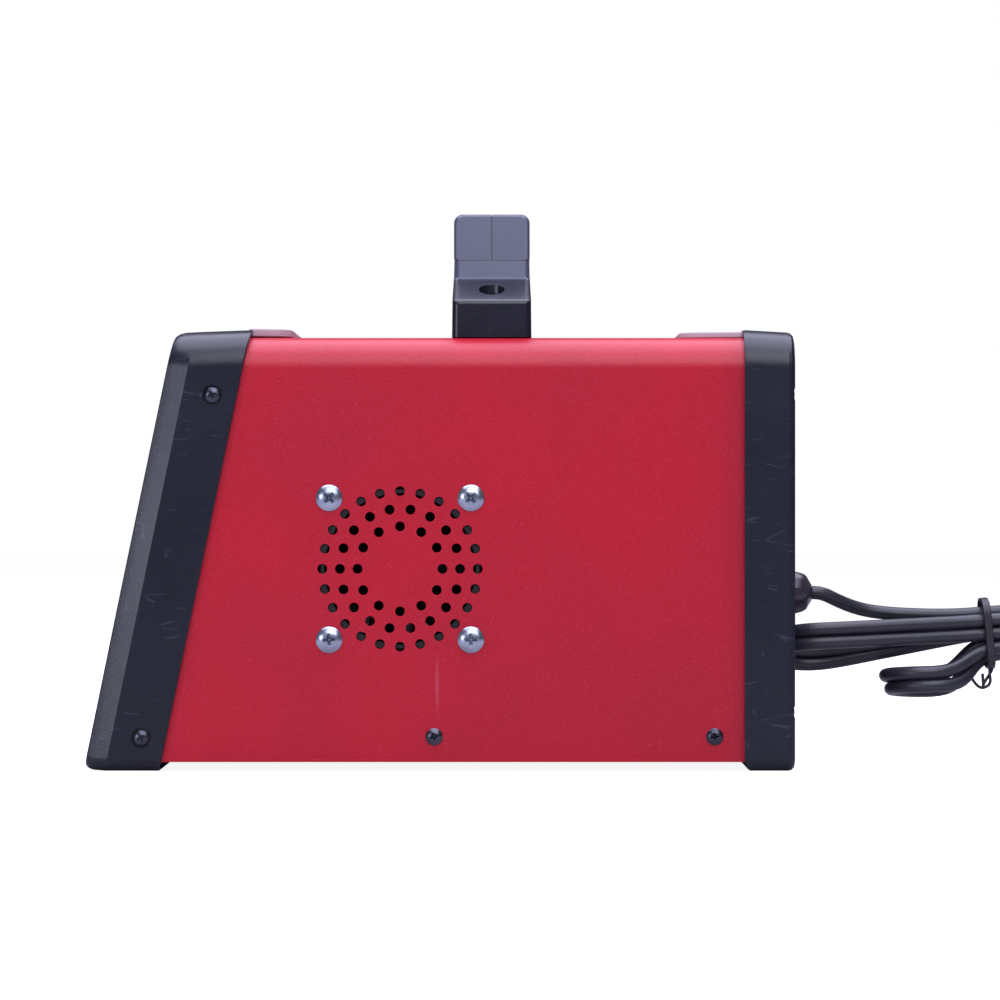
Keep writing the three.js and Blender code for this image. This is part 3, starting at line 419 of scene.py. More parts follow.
def cutAway(bm, cutter, crossing=False):  # crossing: the cutter's own solids run through each other
    body = bpy.data.objects.new("cutBody", meshFrom(bm, "cutBody"))
    tool = bpy.data.objects.new("cutTool", meshFrom(cutter, "cutTool"))
    for each in (body, tool):
        bpy.context.scene.collection.objects.link(each)
    change = body.modifiers.new("cut", "BOOLEAN")
    change.object = tool
    change.operation = "DIFFERENCE"
    change.solver = "EXACT" if crossing else "MANIFOLD"
    change.use_self = crossing
    bpy.context.view_layer.update()
    seen = body.evaluated_get(bpy.context.evaluated_depsgraph_get())
    result = bmesh.new()
    result.from_mesh(seen.to_mesh())
    seen.to_mesh_clear()
    for each in (body, tool):
        used = each.data
        bpy.data.objects.remove(each)
        bpy.data.meshes.remove(used)
    return result


def finishPiece(name, bm, finish, nodes=(), body="chassis", rounding=0.0, steps=2, angle=30):
    moved(bm, Matrix.Scale(mm, 4))
    bmesh.ops.remove_doubles(bm, verts=bm.verts, dist=0.001 * mm)
    bmesh.ops.recalc_face_normals(bm, faces=bm.faces)
    mesh = bpy.data.meshes.new(name)
    bm.to_mesh(mesh)
    bm.free()
    piece = bpy.data.objects.new(name, mesh)
    bpy.context.scene.collection.objects.link(piece)
    mesh.materials.append(finishes[finish])
    mesh.shade_smooth()
    mesh.set_sharp_from_angle(angle=math.radians(angle))
    if rounding:
        bevel = piece.modifiers.new("rounded edges", "BEVEL")
        bevel.width = rounding * mm
        bevel.segments = steps
        bevel.limit_method = "ANGLE"
        bevel.angle_limit = math.radians(35)
        bevel.harden_normals = True
    shading = piece.modifiers.new("even shading", "WEIGHTED_NORMAL")
    shading.keep_sharp = True
    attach(piece, body)
    if nodes:
        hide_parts(*nodes)
    return piece


# mains cord: tail, hank of nine runs, loose end

cord = {
    "diameter": 7.0,
    "middleY": -18.0,
    "spread": 21.75,  # half the width of an open fold
    "leftFold": 193.8,
    "shortFold": 252.0,
    "neck": 278.0,  # the runs close up here, just before the tie
}

# the hank's own middle line from the tie over to the floor, in x and z
hankMiddle = [
    (278, 66.6), (290, 67.9), (304, 68.2), (322, 65), (342, 55.6), (362, 42.6), (384, 30),
    (406, 22), (426, 19.2), (434, 18.9),
]

# each run: its place in the bundle at the tie, and its height in the far folds on the floor
runs = {
    "tail": {"tie": (0, 10.65), "far": (1, 13.7)},
    "nearTop": {"tie": (-6.2, 7.1), "far": (-1, 7.7), "left": 70.3},
    "farTop": {"tie": (0, 3.55), "far": (1, 6.5), "left": 56.6},
    "nearMiddle": {"tie": (-6.2, 0), "far": (-1, 0.5), "left": 63.4},
    "farMiddle": {"tie": (6.2, 0), "far": (1, -0.7), "left": 49.7},
    "nearLow": {"tie": (-6.2, -7.1), "far": (-1, -6.7), "left": 47.8},
    "farLow": {"tie": (0, -3.55), "far": (1, -7.9), "left": 43.2},
    "nearFoot": {"tie": (0, -10.65), "far": (-1, -13.7), "left": 41.2},
    "farFoot": {"tie": (6.2, -7.1), "far": (1, -14.9), "left": 36.2},
}


def throughPoints(points, steps):  # a smooth line through the points
    padded = [points[0] * 2 - points[1], *points, points[-1] * 2 - points[-2]]
    line = []
    for a, b, c, d in zip(padded, padded[1:], padded[2:], padded[3:]):
        for step in range(steps):
            t = step / steps
            line.append(0.5 * (
                b * 2 + (c - a) * t + (a * 2 - b * 5 + c * 4 - d) * t * t + (b * 3 - a - c * 3 + d) * t ** 3
            ))
    return line + [points[-1]]


middleLine = throughPoints([Vector(point) for point in hankMiddle], 8)


def easeIn(share):
    share = min(max(share, 0.0), 1.0)
    return share * share * (3 - 2 * share)


def farRun(name):  # from the tie to where the far fold begins
    tieAcross, tieUp = runs[name]["tie"]
    side, farUp = runs[name]["far"]
    count = len(middleLine) - 7
    points = []
    for i in range(0, count, 5):
        here, ahead = middleLine[i], middleLine[i + 1]
        along = (ahead - here).normalized()
        opened = easeIn((i - 7) / (count - 10))
        across = tieAcross + (side * cord["spread"] - tieAcross) * opened
        up = tieUp + (farUp - tieUp) * opened
        points.append(Vector((here.x - along.y * up, cord["middleY"] + across, here.y + along.x * up)))
    return points


def farFold(first, second):  # half a turn lying on the floor
    a, b = farRun(first)[-1], farRun(second)[-1]
    middle, half = (a + b) / 2, (a - b) / 2
    turn = [math.pi * i / 8 for i in range(1, 8)]
    return [middle + half * math.cos(t) + Vector((half.length * math.sin(t), 0, 0)) for t in turn]


def nearFold(first, second, x):  # a loop at the case's end of the hank, closing towards the tie
    a = Vector((x, cord["middleY"] - 22, runs[first]["left"]))
    b = Vector((x, cord["middleY"] + 21.5, runs[second]["left"]))
    middle, half = (a + b) / 2, (a - b) / 2
    radius, reach = half.length, cord["neck"] - x
    start = math.acos(radius / math.hypot(reach, 6)) + math.atan2(6, reach)
    points = []
    for i in range(13):
        t = start + (math.tau - 2 * start) * i / 12
        points.append(middle + half * math.sin(t) + Vector((radius * math.cos(t), 0, 0)))
    return points


def cordRoute():
    gland = [
        (192.8, -20, 88.6), (195.6, -20, 88.58), (199, -19.5, 87.8), (204, -18, 85.8),
        (208.4, -16, 83.4), (211.8, -14.2, 81.2), (217, -12, 79.4), (226, -10.4, 77.9),
        (240, -11, 77), (256, -14, 76.4), (270, -17, 76.6),
    ]
    route = [Vector(point) for point in gland] + farRun("tail")
    turns = [
        ("tail", "nearTop", "farTop", cord["leftFold"]),
        ("farTop", "nearMiddle", "farMiddle", cord["leftFold"]),
        ("farMiddle", "nearLow", "farLow", cord["shortFold"] - 0.7),
        ("farLow", "nearFoot", "farFoot", cord["shortFold"] + 2),
    ]
    for outward, back, again, x in turns:
        route += farFold(outward, back) + farRun(back)[::-1] + nearFold(back, again, x) + farRun(again)
    loose = [
        (452.3, -8, 3.9), (462, -6.4, 3.8), (474, 0.4, 3.8), (484, 11, 3.8), (489.6, 25, 4.4),
        (488, 40, 6.6), (479, 52.6, 10), (465.6, 60, 14), (454, 62.8, 16.9), (447, 63, 18),
        (443.2, 63, 18.1),
    ]
    return route + [Vector(point) for point in loose]


def evenly(points, spacing):  # the same line with its points a fixed distance apart
    line, held = [points[0]], 0.0
    for a, b in zip(points, points[1:]):
        length = (b - a).length
        while held + length >= spacing:
            share = (spacing - held) / length
            a = a.lerp(b, share)
            length = (b - a).length
            line.append(a)
            held = 0.0
        held += length
    line[-1] = points[-1]
    return line


def relaxed(points, rounds):  # a cord's stiffness rounds off each change of direction
    for _ in range(rounds):
        inner = [p * 0.5 + (a + b) * 0.25 for a, p, b in zip(points[2:], points[3:], points[4:])][:-2]
        points = points[:3] + inner + points[-3:]
    return points


cordPath = relaxed(evenly(cordRoute(), 4.0), 10)


def makeCord():
    curve = bpy.data.curves.new("mains_cord", "CURVE")
    curve.dimensions = "3D"
    spline = curve.splines.new("POLY")
    spline.points.add(len(cordPath) - 1)
    for point, place in zip(spline.points, cordPath):
        point.co = (*(place * mm), 1)
    curve.bevel_depth = cord["diameter"] / 2 * mm
    curve.bevel_resolution = 6
    curve.use_fill_caps = True
    curve.materials.append(finishes["pvc"])
    spline.use_smooth = True
    piece = bpy.data.objects.new("mains_cord", curve)
    bpy.context.scene.collection.objects.link(piece)
    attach(piece, "chassis")
    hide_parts("cord_tail", "cord_hank", "cord_end")
    return piece


mainsCord = makeCord()

# red cover

guard = {"rings": [(39.2, 24), (30.3, 18), (21.4, 12)], "hole": 2.5}  # each ring: radius, holes
screwHole = 2.3
screwSpots = {
    "bezel": [(case["front"] + 26 + z * slope, z) for z in (16.9, 189.6)],
    "cover": [(-2.5, 17.4), (138.9, 17.4)],
    "fan": [(fanCentre.x + i * 35.75, fanCentre.z + j * 35.75) for i in (-1, 1) for j in (-1, 1)],
    "rear": [(side * 82.2, z) for side in (-1, 1) for z in (30, 190)],
}
vent = {"count": 11, "pitch": 12.0, "width": 3.4, "low": 32.0, "height": 36.0}


def makeCover():
    half, sheet, bend = case["half"], case["sheet"], case["bend"]
    ends = (panelFront, rearPanelX)
    outer, inner = [
        roundedRect(inset - half, half - inset, case["low"] - 30, case["top"] - inset, 2, bend - inset, 14)
        for inset in (0, sheet)
    ]
    bm = bmesh.new()
    rows = [[Vector((x, *point)) for point in line] for line, x in
            ((outer, ends[0]), (outer, ends[1]), (inner, ends[1]), (inner, ends[0]), (outer, ends[0]))]
    loft(bm, rows, closed=True)
    for point, normal in (((0, 0, case["low"]), (0, 0, 1)), ((ends[0], 0, 0), (1, 0, -slope))):
        cut = bmesh.ops.bisect_plane(
            bm, geom=bm.verts[:] + bm.edges[:] + bm.faces[:],
            plane_co=point, plane_no=normal, clear_inner=True,
        )["geom_cut"]
        bmesh.ops.holes_fill(bm, edges=[e for e in cut if isinstance(e, bmesh.types.BMEdge)], sides=0)
    holes = bmesh.new()
    for radius, count in guard["rings"]:
        for i in range(count):
            angle = math.tau * i / count
            x, z = fanCentre.x + radius * math.cos(angle), fanCentre.z + radius * math.sin(angle)
            addRod(holes, (x, -half, z), guard["hole"], 8, segments=28)
    for x, z in screwSpots["fan"]:
        addRod(holes, (x, -half, z), screwHole, 8, segments=16)
    for x, z in screwSpots["bezel"] + screwSpots["cover"]:
        for side in (-1, 1):
            addRod(holes, (x, side * half, z), screwHole, 8, segments=16)
    for i in range(vent["count"]):
        x = fanCentre.x + (i - (vent["count"] - 1) / 2) * vent["pitch"]
        w, low = vent["width"] / 2, vent["low"]
        slot = addBlock(holes, (x - w, half - 4, low), (x + w, half + 4, low + vent["height"]))
        through = [
            e for e in holes.edges if e.verts[0] in slot and abs(e.verts[0].co.y - e.verts[1].co.y) > 7
        ]
        bmesh.ops.bevel(
            holes, geom=through, offset=w * 0.96, segments=5, affect="EDGES", profile=0.5, material=-1,
        )
    for side in (-1, 1):
        addRod(holes, (26.5, side * case["boltY"], case["top"]), 3.3, 8, "Z", 20)
    return finishPiece("red_cover", cutAway(bm, holes), "red", ["cover"], angle=20)


makeCover()
print("cover made")

# black moulded end frames

# stations round each frame's section: depth from the mouth, half width, low, high, low and high radius
frontStations = [
    (17, 77.5, 9.5, 213.5, 9, 9), (1.2, 78.0, 9.0, 214.0, 9.3, 9.3), (0.3, 78.6, 8.4, 214.6, 9.6, 9.6),
    (0, 79.4, 7.6, 215.4, 10, 10.4), (0, 82.4, 3.6, 218.6, 6, 15), (0.5, 83.2, 2.4, 219.7, 6, 15.6),
    (2.2, 83.9, 1.1, 221.0, 6.2, 16.6), (4.8, 84.9, 0.4, 221.7, 6.6, 17.6), (11, 87, 0, 222.0, 7, 19),
    (38, 87, 0, 223.0, 7, 19), (38.5, 86.6, 0.4, 222.7, 6.8, 18.6), (38.5, 84.4, 4.2, 219.5, 1, 16.3),
    (17, 84.4, 4.2, 219.5, 1, 16.3),
]
rearStations = [
    (12.5, 77.5, 9.5, 213.5, 9, 9), (1.2, 78.0, 9.0, 214.0, 9.3, 9.3), (0.3, 78.6, 8.4, 214.6, 9.6, 9.6),
    (0, 79.4, 7.6, 215.4, 10, 10.4), (0, 84.2, 2.8, 218.4, 6, 16), (0.4, 85.4, 1.4, 220.0, 6.4, 17),
    (1.6, 86.5, 0.4, 221.3, 6.8, 18.2), (3.2, 87, 0, 221.8, 7, 18.8), (22.6, 87, 0, 222.9, 7, 19),
    (24, 87, 1.2, 223.0, 7, 19), (25.5, 86.7, 3.2, 222.8, 6, 18.7), (25.5, 84.4, 4.2, 219.5, 1, 16.3),
    (12.5, 84.4, 4.2, 219.5, 1, 16.3),
]


def frameRing(stations):
    bm = bmesh.new()
    loft(bm, [
        [Vector((depth, *point)) for point in roundedRect(-half, half, low, high, lowRadius, highRadius, 9)]
        for depth, half, low, high, lowRadius, highRadius in stations + stations[:1]
    ], closed=True)
    return bm


def makeTongue(name, start, reach, low, thickness, facing):  # the flat lip that lies on the cover
    top, half = low + thickness, 62
    plan = roundedOutline([
        (-half, -1.5, 0.4), (half, -1.5, 0.4), (half, 0, 1),
        (half - 8, reach, 9), (8 - half, reach, 9), (-half, 0, 1),
    ], 8)
    rows = []
    for z, draw in ((low, 0.5), (low + 0.5, 0), (top - 0.9, 0), (top - 0.25, 0.25), (top, 0.9)):
        rows.append([
            Vector((start + facing * (along - draw * (along > 0)), side * (1 - draw / half), z))
            for side, along in plan
        ])
    bm = bmesh.new()
    loft(bm, rows)
    return finishPiece(name, bm, "lip", angle=35)


def makeFrontFrame():
    bm = frameRing(frontStations)
    moved(bm, Matrix.Translation((case["front"], 0, 0)) @ leanBack)
    holes = bmesh.new()
    for x, z in screwSpots["bezel"]:
        for side in (-1, 1):
            addRod(holes, (x, side * (case["half"] + case["proud"]), z), 5.2, 2.8, segments=40)
            addRod(holes, (x, side * (case["half"] + 1), z), screwHole, 8, segments=20)
    makeTongue("front_lip", case["front"] + 38.5 + case["top"] * slope, 20.0, case["top"] + 1.0, 4.0, 1)
    bm = cutAway(bm, holes)
    return finishPiece("front_frame", bm, "abs", ["front_bezel"], rounding=0.35, angle=15)


def makeRearFrame():
    bm = frameRing(rearStations)
    moved(bm, Matrix.Translation((case["rear"], 0, 0)) @ Matrix.Rotation(math.pi, 4, "Z"))
    holes = bmesh.new()
    for y, z in screwSpots["rear"]:
        addRod(holes, (case["rear"], y, z), 3.9, 2.8, "X", 40)
    makeTongue("rear_lip", case["rear"] - 25.5, 31.5, case["top"] + 0.4, 3.0, -1)
    bm = cutAway(bm, holes)
    return finishPiece("rear_frame", bm, "abs", ["rear_bezel"], rounding=0.35, angle=15)


makeFrontFrame()
makeRearFrame()
print("end frames made")

# screws: one mesh for each kind of head

heads = {
    "rear": {"radius": 3.6, "height": 1.6, "slot": 1.1, "reach": 2.8, "deep": 2.0},
    "pan": {"radius": 4.3, "height": 1.7, "slot": 1.25, "reach": 3.2, "deep": 2.2},
    "truss": {"radius": 6.7, "height": 2.2, "slot": 1.9, "reach": 4.4, "deep": 3.4},
}


def headMesh(head):  # a domed head with a cross recess; it faces -X with its underside at x = 0
    radius, height = head["radius"], head["height"]
    dome = [(-height * (1 - 0.86 * (i / 8) ** 3), radius * (i / 8) * 0.985) for i in range(8)]
    bm = bmesh.new()
    turned(bm, dome + [(-0.25, radius), (0, radius * 0.98), (0, 2), (5, 2), (5.4, 1.5), (5.4, 0)], 40)
    cross = bmesh.new()
    for turn in (0, math.pi / 2):
        wing = addBlock(
            cross, (-height - 1, -head["slot"] / 2, -head["reach"]),
            (-height + head["deep"], head["slot"] / 2, head["reach"]),
        )
        for vert in wing:
            if vert.co.x > -height:
                vert.co.y *= 0.3
                vert.co.z *= 0.12  # the wings taper to a point
        moved(cross, Matrix.Rotation(turn, 4, "X"), wing)
    return meshFrom(cutAway(bm, cross, True), "screwHead")


headMeshes = {kind: headMesh(head) for kind, head in heads.items()}


def placeScrew(name, head, matrix, finish, node):
    bm = bmesh.new()
    bm.from_mesh(headMeshes[head])
    moved(bm, matrix)
    return finishPiece(name, bm, finish, [node], rounding=0.12, angle=28)


def sideScrew(x, y, z, side, turn):  # a screw through a side wall, its cross turned by its own amount
    facing = Matrix.Rotation(math.pi / 2 if side < 0 else -math.pi / 2, 4, "Z")
    return Matrix.Translation((x, y, z)) @ facing @ Matrix.Rotation(turn, 4, "X")


def makeScrews():
    turn, step = 0.3, 0.83  # no two crosses stand alike
    for group, seat in (("bezel", case["half"] + case["proud"] - 1.1), ("cover", case["half"] + 0.3)):
        label = "front_bezel" if group == "bezel" else "cover"
        for i, (x, z) in enumerate(screwSpots[group]):
            for side, word in ((-1, "left"), (1, "right")):
                turn += step
                node = f"{label}_screw_{word}_{i + 1}"
                matrix = sideScrew(x, side * seat, z, side, turn)
                placeScrew(node + "_head", "pan", matrix, "blackScrew", node)
    for i, (x, z) in enumerate(screwSpots["fan"]):
        turn += step
        matrix = sideScrew(x, -case["half"] - 0.3, z, -1, turn)
        placeScrew(f"fan_screw_head_{i + 1}", "truss", matrix, "zinc", f"fan_screw_{i + 1}")
    for i, (y, z) in enumerate(screwSpots["rear"]):
        turn += step
        matrix = (
            Matrix.Translation((case["rear"] - 1.4, y, z)) @ Matrix.Rotation(math.pi, 4, "Z")
            @ Matrix.Rotation(turn, 4, "X") @ Matrix.Diagonal((0.78, 1, 1, 1))
        )
        node = f"rear_bezel_screw_{i + 1}"
        placeScrew(f"rear_screw_head_{i + 1}", "rear", matrix, "blackScrew", node)


makeScrews()
print("screws made")

# bridge handle

handle = {
    "x": (handleLow.x + handleHigh.x) / 2,
    "half": 19.5,
    "footHalf": 20.2,
    "foot": 71.0,
    "inside": 33.5,
    "base": case["top"] + 0.3,
    "footTop": case["top"] + 17,
    "slopeTop": case["top"] + 32.5,
    "gripLow": gripLow.z,
    "gripTop": gripHigh.z,
    "endY": 43.0,
    "lean": math.tan(math.radians(9)),
}


def gripEnd(z):  # how far out the grip's end face stands at a height
    return handle["endY"] - (z - handle["slopeTop"]) * handle["lean"]


def makeHandleBridge():
    legTop = handle["gripLow"] - 0.15
    # height, half length along the case, outer reach, corner radius
    stations = [(handle["base"], handle["footHalf"], handle["foot"], 3.4)]
    stations += [
        (handle["footTop"] + up, handle["footHalf"] - 0.2, handle["foot"] - back, 3.4)
        for up, back in ((0, 0), (1.2, 0.3), (2.0, 0.9), (2.8, 2.0))
    ]
    stations += [
        (handle["slopeTop"] - 1.6, handle["half"] + 0.1, handle["endY"] + 1.6, 3.0),
        (handle["slopeTop"] - 0.4, handle["half"], handle["endY"] + 0.3, 2.8),
        (legTop, handle["half"] - 0.2, gripEnd(legTop), 2.8),
        (legTop + 1.0, handle["half"] - 1.2, gripEnd(legTop) - 1.2, 2.0),
    ]
    bm = bmesh.new()
    for side in (-1, 1):
        loft(bm, [
            [Vector((handle["x"] + along, side * out, z)) for along, out in
             roundedRect(-half, half, handle["inside"], reach, 2.0, radius, 5)]
            for z, half, reach, radius in stations
        ])
    rib = gripEnd(handle["gripTop"]) - 1  # a dark rib fills the grip's parting line
    x, low, top = handle["x"], handle["gripLow"], handle["gripTop"]
    addBlock(bm, (x - 10, -32, low + 6), (x + 10, 32, low + 18))
    addBlock(bm, (x - 0.14, -rib, low + 0.4), (x + 0.14, rib, top - 0.6))
    holes = bmesh.new()
    for side in (-1, 1):
        addRod(holes, (x, side * case["boltY"], case["top"] + 30), 6.5, 44, "Z", 56)
    bm = cutAway(bm, holes)
    return finishPiece("handle_feet", bm, "grip", ["handle_bridge"], rounding=0.4, steps=3)


def makeGripHalf(side, name, node):
    low, top = handle["gripLow"], handle["gripTop"]
    rows = []
    # which end, and how far the section draws in there
    for end, draw in ((-1, 1.2), (-1, 0.7), (-1, 0.35), (-1, 0), (1, 0), (1, 0.35), (1, 0.7), (1, 1.2)):
        corners = [
            (0.15, low + draw * 0.15, 0.3), (19.5 - draw, low + draw * 0.15, 1.4),
            (19.5 - draw, top - draw, 4.5), (0.15, top - draw, 0.5),
        ]
        trim = (1.2 - draw) ** 2 * 1.4
        rows.append([
            Vector((handle["x"] + side * out, end * (gripEnd(z) - trim), z))
            for out, z in roundedOutline(corners, 7)
        ])
    bm = bmesh.new()
    loft(bm, rows)
    return finishPiece(name, bm, "grip", [node], angle=24)


def makeHandleScrews():
    for side, word in ((-1, "left"), (1, "right")):
        under = case["top"] + 8.3
        bm = bmesh.new()
        turned(bm, [
            (-3, 0), (-3, 2.9), (-6, 2.9), (-6, 5.1), (-5.6, 5.6), (-5.2, 5.75), (0, 5.75), (0, 3),
            (19.6, 3), (19.6, 0),
        ], 40)
        stands = Matrix.Translation((handle["x"], side * case["boltY"], under))
        moved(bm, stands @ Matrix.Rotation(math.pi / 2, 4, "Y"))
        finishPiece(f"handle_bolt_{word}", bm, "blackScrew", [f"handle_screw_{word}"])


makeHandleBridge()
makeGripHalf(-1, "grip_front_half", "handle_grip_front")
makeGripHalf(1, "grip_rear_half", "handle_grip_rear")
makeHandleScrews()
print("handle made")

# strain relief, tie, plug

gland = {"y": -20.0, "z": 88.6, "root": 12.5, "tip": 9.6, "end": case["rear"] + 13.0, "ribs": 12}


def makeGland():
    root, tip, end, face = gland["root"], gland["tip"], gland["end"], rearPanelX
    bm = bmesh.new()
    skirt = [(face + 0.4, root + 0.6), (face + 0.6, root + 1), (face + 3.6, root + 1), (face + 4.2, root)]
    angles = [i * math.pi / 32 for i in range(16)]
    dome = [(end - 14 + 12 * math.sin(t), tip - 2.2 + 4.2 * math.cos(t)) for t in angles]
    turned(bm, [
        (face - 8, 0), (face - 8, tip), (face + 0.4, tip), *skirt, *dome,
        (end - 0.5, 5.1), (end, 4.4), (end, 0),
    ], 60)
    for vert in bm.verts:  # grip ribs round the nut, fading into the dome
        reach = math.hypot(vert.co.y, vert.co.z)
        if face + 4 < vert.co.x < end - 3 and reach > tip - 1:
            angle = math.atan2(vert.co.z, vert.co.y)
            fade = min(1, (end - 3 - vert.co.x) / 8)
            shrink = 1 - 0.045 * fade * (1 + math.cos(gland["ribs"] * angle)) / 2
            vert.co.y *= shrink
            vert.co.z *= shrink
    moved(bm, Matrix.Translation((0, gland["y"], gland["z"])))
    return finishPiece("cable_gland", bm, "gland", ["strain_relief"], angle=50)


tie = {"x": 284.0, "z": 67.4, "half": 11.9, "high": 17.4, "wall": 1.0, "width": 4.2, "tilt": -0.1}


def makeTie():
    bm = bmesh.new()
    half, high, wall, width = tie["half"], tie["high"], tie["wall"], tie["width"] / 2
    steps = (
        (-width, 0), (-width + 0.4, wall), (width - 0.4, wall), (width, 0), (width, -0.2), (-width, -0.2),
    )
    loft(bm, [
        [Vector((x, *point)) for point in
         roundedRect(-half - grow, half + grow, -high - grow, high + grow, 7.5 + grow, 7.5 + grow, 8)]
        for x, grow in steps + steps[:1]
    ], closed=True)
    for wind, shift in ((0.0, -1.4), (math.pi, 1.6)):  # two ends twisted together, then sprung apart
        line = []
        for i in range(41):
            t = i / 40
            turn = wind + (t * 9 if t < 0.6 else 5.4)
            spread = 1.1 + max(0, t - 0.6) * 14 * (1 if shift < 0 else 0.55)
            line.append(Vector((
                -t * 9 + spread * math.cos(turn) + shift * 0.3,
                -half * 0.4 + spread * 0.7 * math.sin(turn),
                -high - 0.6 - math.sin(t * 2.4) * 11 + (t ** 3) * 5,
            )))
        tubeAlong(bm, line, 0.8)
    stands = Matrix.Translation((tie["x"], cord["middleY"], tie["z"]))
    moved(bm, stands @ Matrix.Rotation(tie["tilt"], 4, "Y"))
    return finishPiece("wire_tie", bm, "plugPvc", ["cord_tie"], angle=40)


plug = {
    "x": 442.7, "y": 63.0, "z": 18.6, "radius": 18.2, "flat": 2.6,
    "boot": 26.0, "body": 34.0, "pin": 19.0, "spread": 19.0,
}


def makePlug():
    boot, body, radius = plug["boot"], plug["body"], plug["radius"]
    back = -boot - body
    bm = bmesh.new()
    profile = [(back, 0), (back, radius - 1.2), (back + 0.4, radius - 0.4), (back + 1.2, radius)]
    angles = [i * math.pi / 14 for i in range(8)]
    profile += [(-boot - 16 + 13 * math.sin(t), radius - 6 + 6 * math.cos(t)) for t in angles]
    for i in range(7):  # the boot's ribs shrink towards the cord
        x = -boot + 1 + i * 3.5
        size = 8.4 - i * 0.5
        profile += [(x, size - 1.1), (x + 0.5, size), (x + 2.0, size - 0.1), (x + 2.5, size - 1.2)]
    profile += [(-0.4, 4.6), (0, 4.2), (0, 0)]
    turned(bm, profile, 64)
    for vert in bm.verts:  # two flat finger sides on the body
        if vert.co.x < -boot - 1 and abs(vert.co.z) > radius - plug["flat"]:
            vert.co.z = math.copysign(radius - plug["flat"], vert.co.z)
    moved(bm, Matrix.Translation((plug["x"], plug["y"], plug["z"])))
    finishPiece("plug_body", bm, "plugPvc", ["power_plug"], angle=40)
    for i, side in enumerate((-1, 1)):
        bm = bmesh.new()
        tip = back - plug["pin"]
        turned(bm, [
            (tip, 0), (tip, 0.9), (tip + 0.4, 1.7), (tip + 1.4, 2.3), (tip + 2.2, 2.4),
            (back + 5.7, 2.4), (back + 5.7, 0),
        ], 32)
        moved(bm, Matrix.Translation((plug["x"], plug["y"] + side * plug["spread"] / 2, plug["z"])))
        name, node = f"plug_pin_turned_{i + 1}", f"plug_pin_{i + 1}"
        finishPiece(name, bm, "nickel", [node], angle=40)


makeGland()
makeTie()
makePlug()
print("cord pieces made")

# front panel: knob, dial, sockets, lamps

knob = {"radius": 19.0, "height": 14.0, "up": 152.0, "flutes": 18}
dial = {"radius": 24.0, "sweep": 270, "steps": 10}
socket = {
    "spread": 84.0, "up": 46.0, "collar": 17.0, "collarHeight": 9.0,
    "body": 10.5, "bore": 6.5, "back": 20.0,
}
lamps = {"power": (-22, "green"), "overheat": (22, "amber")}  # place across the panel, finish


def makeKnob():
    radius, outside = knob["radius"], -knob["height"] - 1
    bm = bmesh.new()
    turned(bm, [
        (outside + 0.6, 0), (outside + 0.6, radius * 0.56), (outside, radius * 0.62),
        (outside, radius * 0.76), (outside + 0.5, radius * 0.81), (outside + 1.6, radius * 0.835),
        (-7, radius * 0.87), (-4.2, radius * 0.9), (-3.6, radius * 0.93), (-3.4, radius * 0.99),
        (-3.0, radius), (-1.2, radius), (-1, radius * 0.99), (-1, 0),
    ], 144)
    for vert in bm.verts:  # flutes round the grip
        reach = math.hypot(vert.co.y, vert.co.z)
        if radius * 0.8 < reach < radius * 0.92:
            angle = math.atan2(vert.co.z, vert.co.y)
            shrink = 1 - 0.05 * max(0, math.cos(knob["flutes"] * angle)) ** 2
            vert.co.y *= shrink
            vert.co.z *= shrink
    moved(bm, onPanel(0, knob["up"]))
    finishPiece("knob_cap", bm, "grip", ["current_knob"], "knob", angle=35)
    bm = bmesh.new()
    addBlock(bm, (outside - 0.15, -0.8, 11), (outside + 2, 0.8, 15))
    addBlock(bm, (outside + 0.45, -0.8, 1.5), (outside + 1, 0.8, 9.8))
    turn = Matrix.Rotation(math.radians(-dial["sweep"] / 2), 4, "X")  # at rest it stands on 0
    moved(bm, onPanel(0, knob["up"]) @ turn)
    finishPiece("knob_pointer", bm, "ink", (), "knob", rounding=0.12)


def addText(bm, words, size, y, up):  # raised ink on the front panel
    text = bpy.data.curves.new("legend", "FONT")
    text.body = words
    text.size = size
    text.align_x = "CENTER"
    text.align_y = "CENTER"
    text.extrude = 0.08
    holder = bpy.data.objects.new("legend", text)
    bpy.context.scene.collection.objects.link(holder)
    bpy.context.view_layer.update()
    mesh = bpy.data.meshes.new_from_object(holder.evaluated_get(bpy.context.evaluated_depsgraph_get()))
    bpy.data.objects.remove(holder)
    held = set(bm.verts)
    bm.from_mesh(mesh)
    bpy.data.meshes.remove(mesh)
    facing = Matrix(((0, 0, -1, -0.08), (-1, 0, 0, 0), (0, 1, 0, 0), (0, 0, 0, 1)))
    moved(bm, onPanel(y, up) @ facing, [v for v in bm.verts if v not in held])


def makeLegends():
    bm = bmesh.new()
    for i in range(dial["steps"] + 1):
        angle = math.radians(-dial["sweep"] / 2 + dial["sweep"] * i / dial["steps"])
        y, up = -math.sin(angle), math.cos(angle)
        tick = addBlock(bm, (-0.16, -0.45, -2), (0.02, 0.45, 2))
        inner, outer = dial["radius"], dial["radius"] + 6.4
        stands = onPanel(y * inner, knob["up"] + up * inner)
        moved(bm, stands @ Matrix.Rotation(angle, 4, "X"), tick)
        addText(bm, str(i), 5.2, y * outer, knob["up"] + up * outer)
    for side, sign in ((-1, "-"), (1, "+")):
        addText(bm, sign, 11, side * socket["spread"] / 2, socket["up"] + 25)
    return finishPiece("panel_legends", bm, "ink")


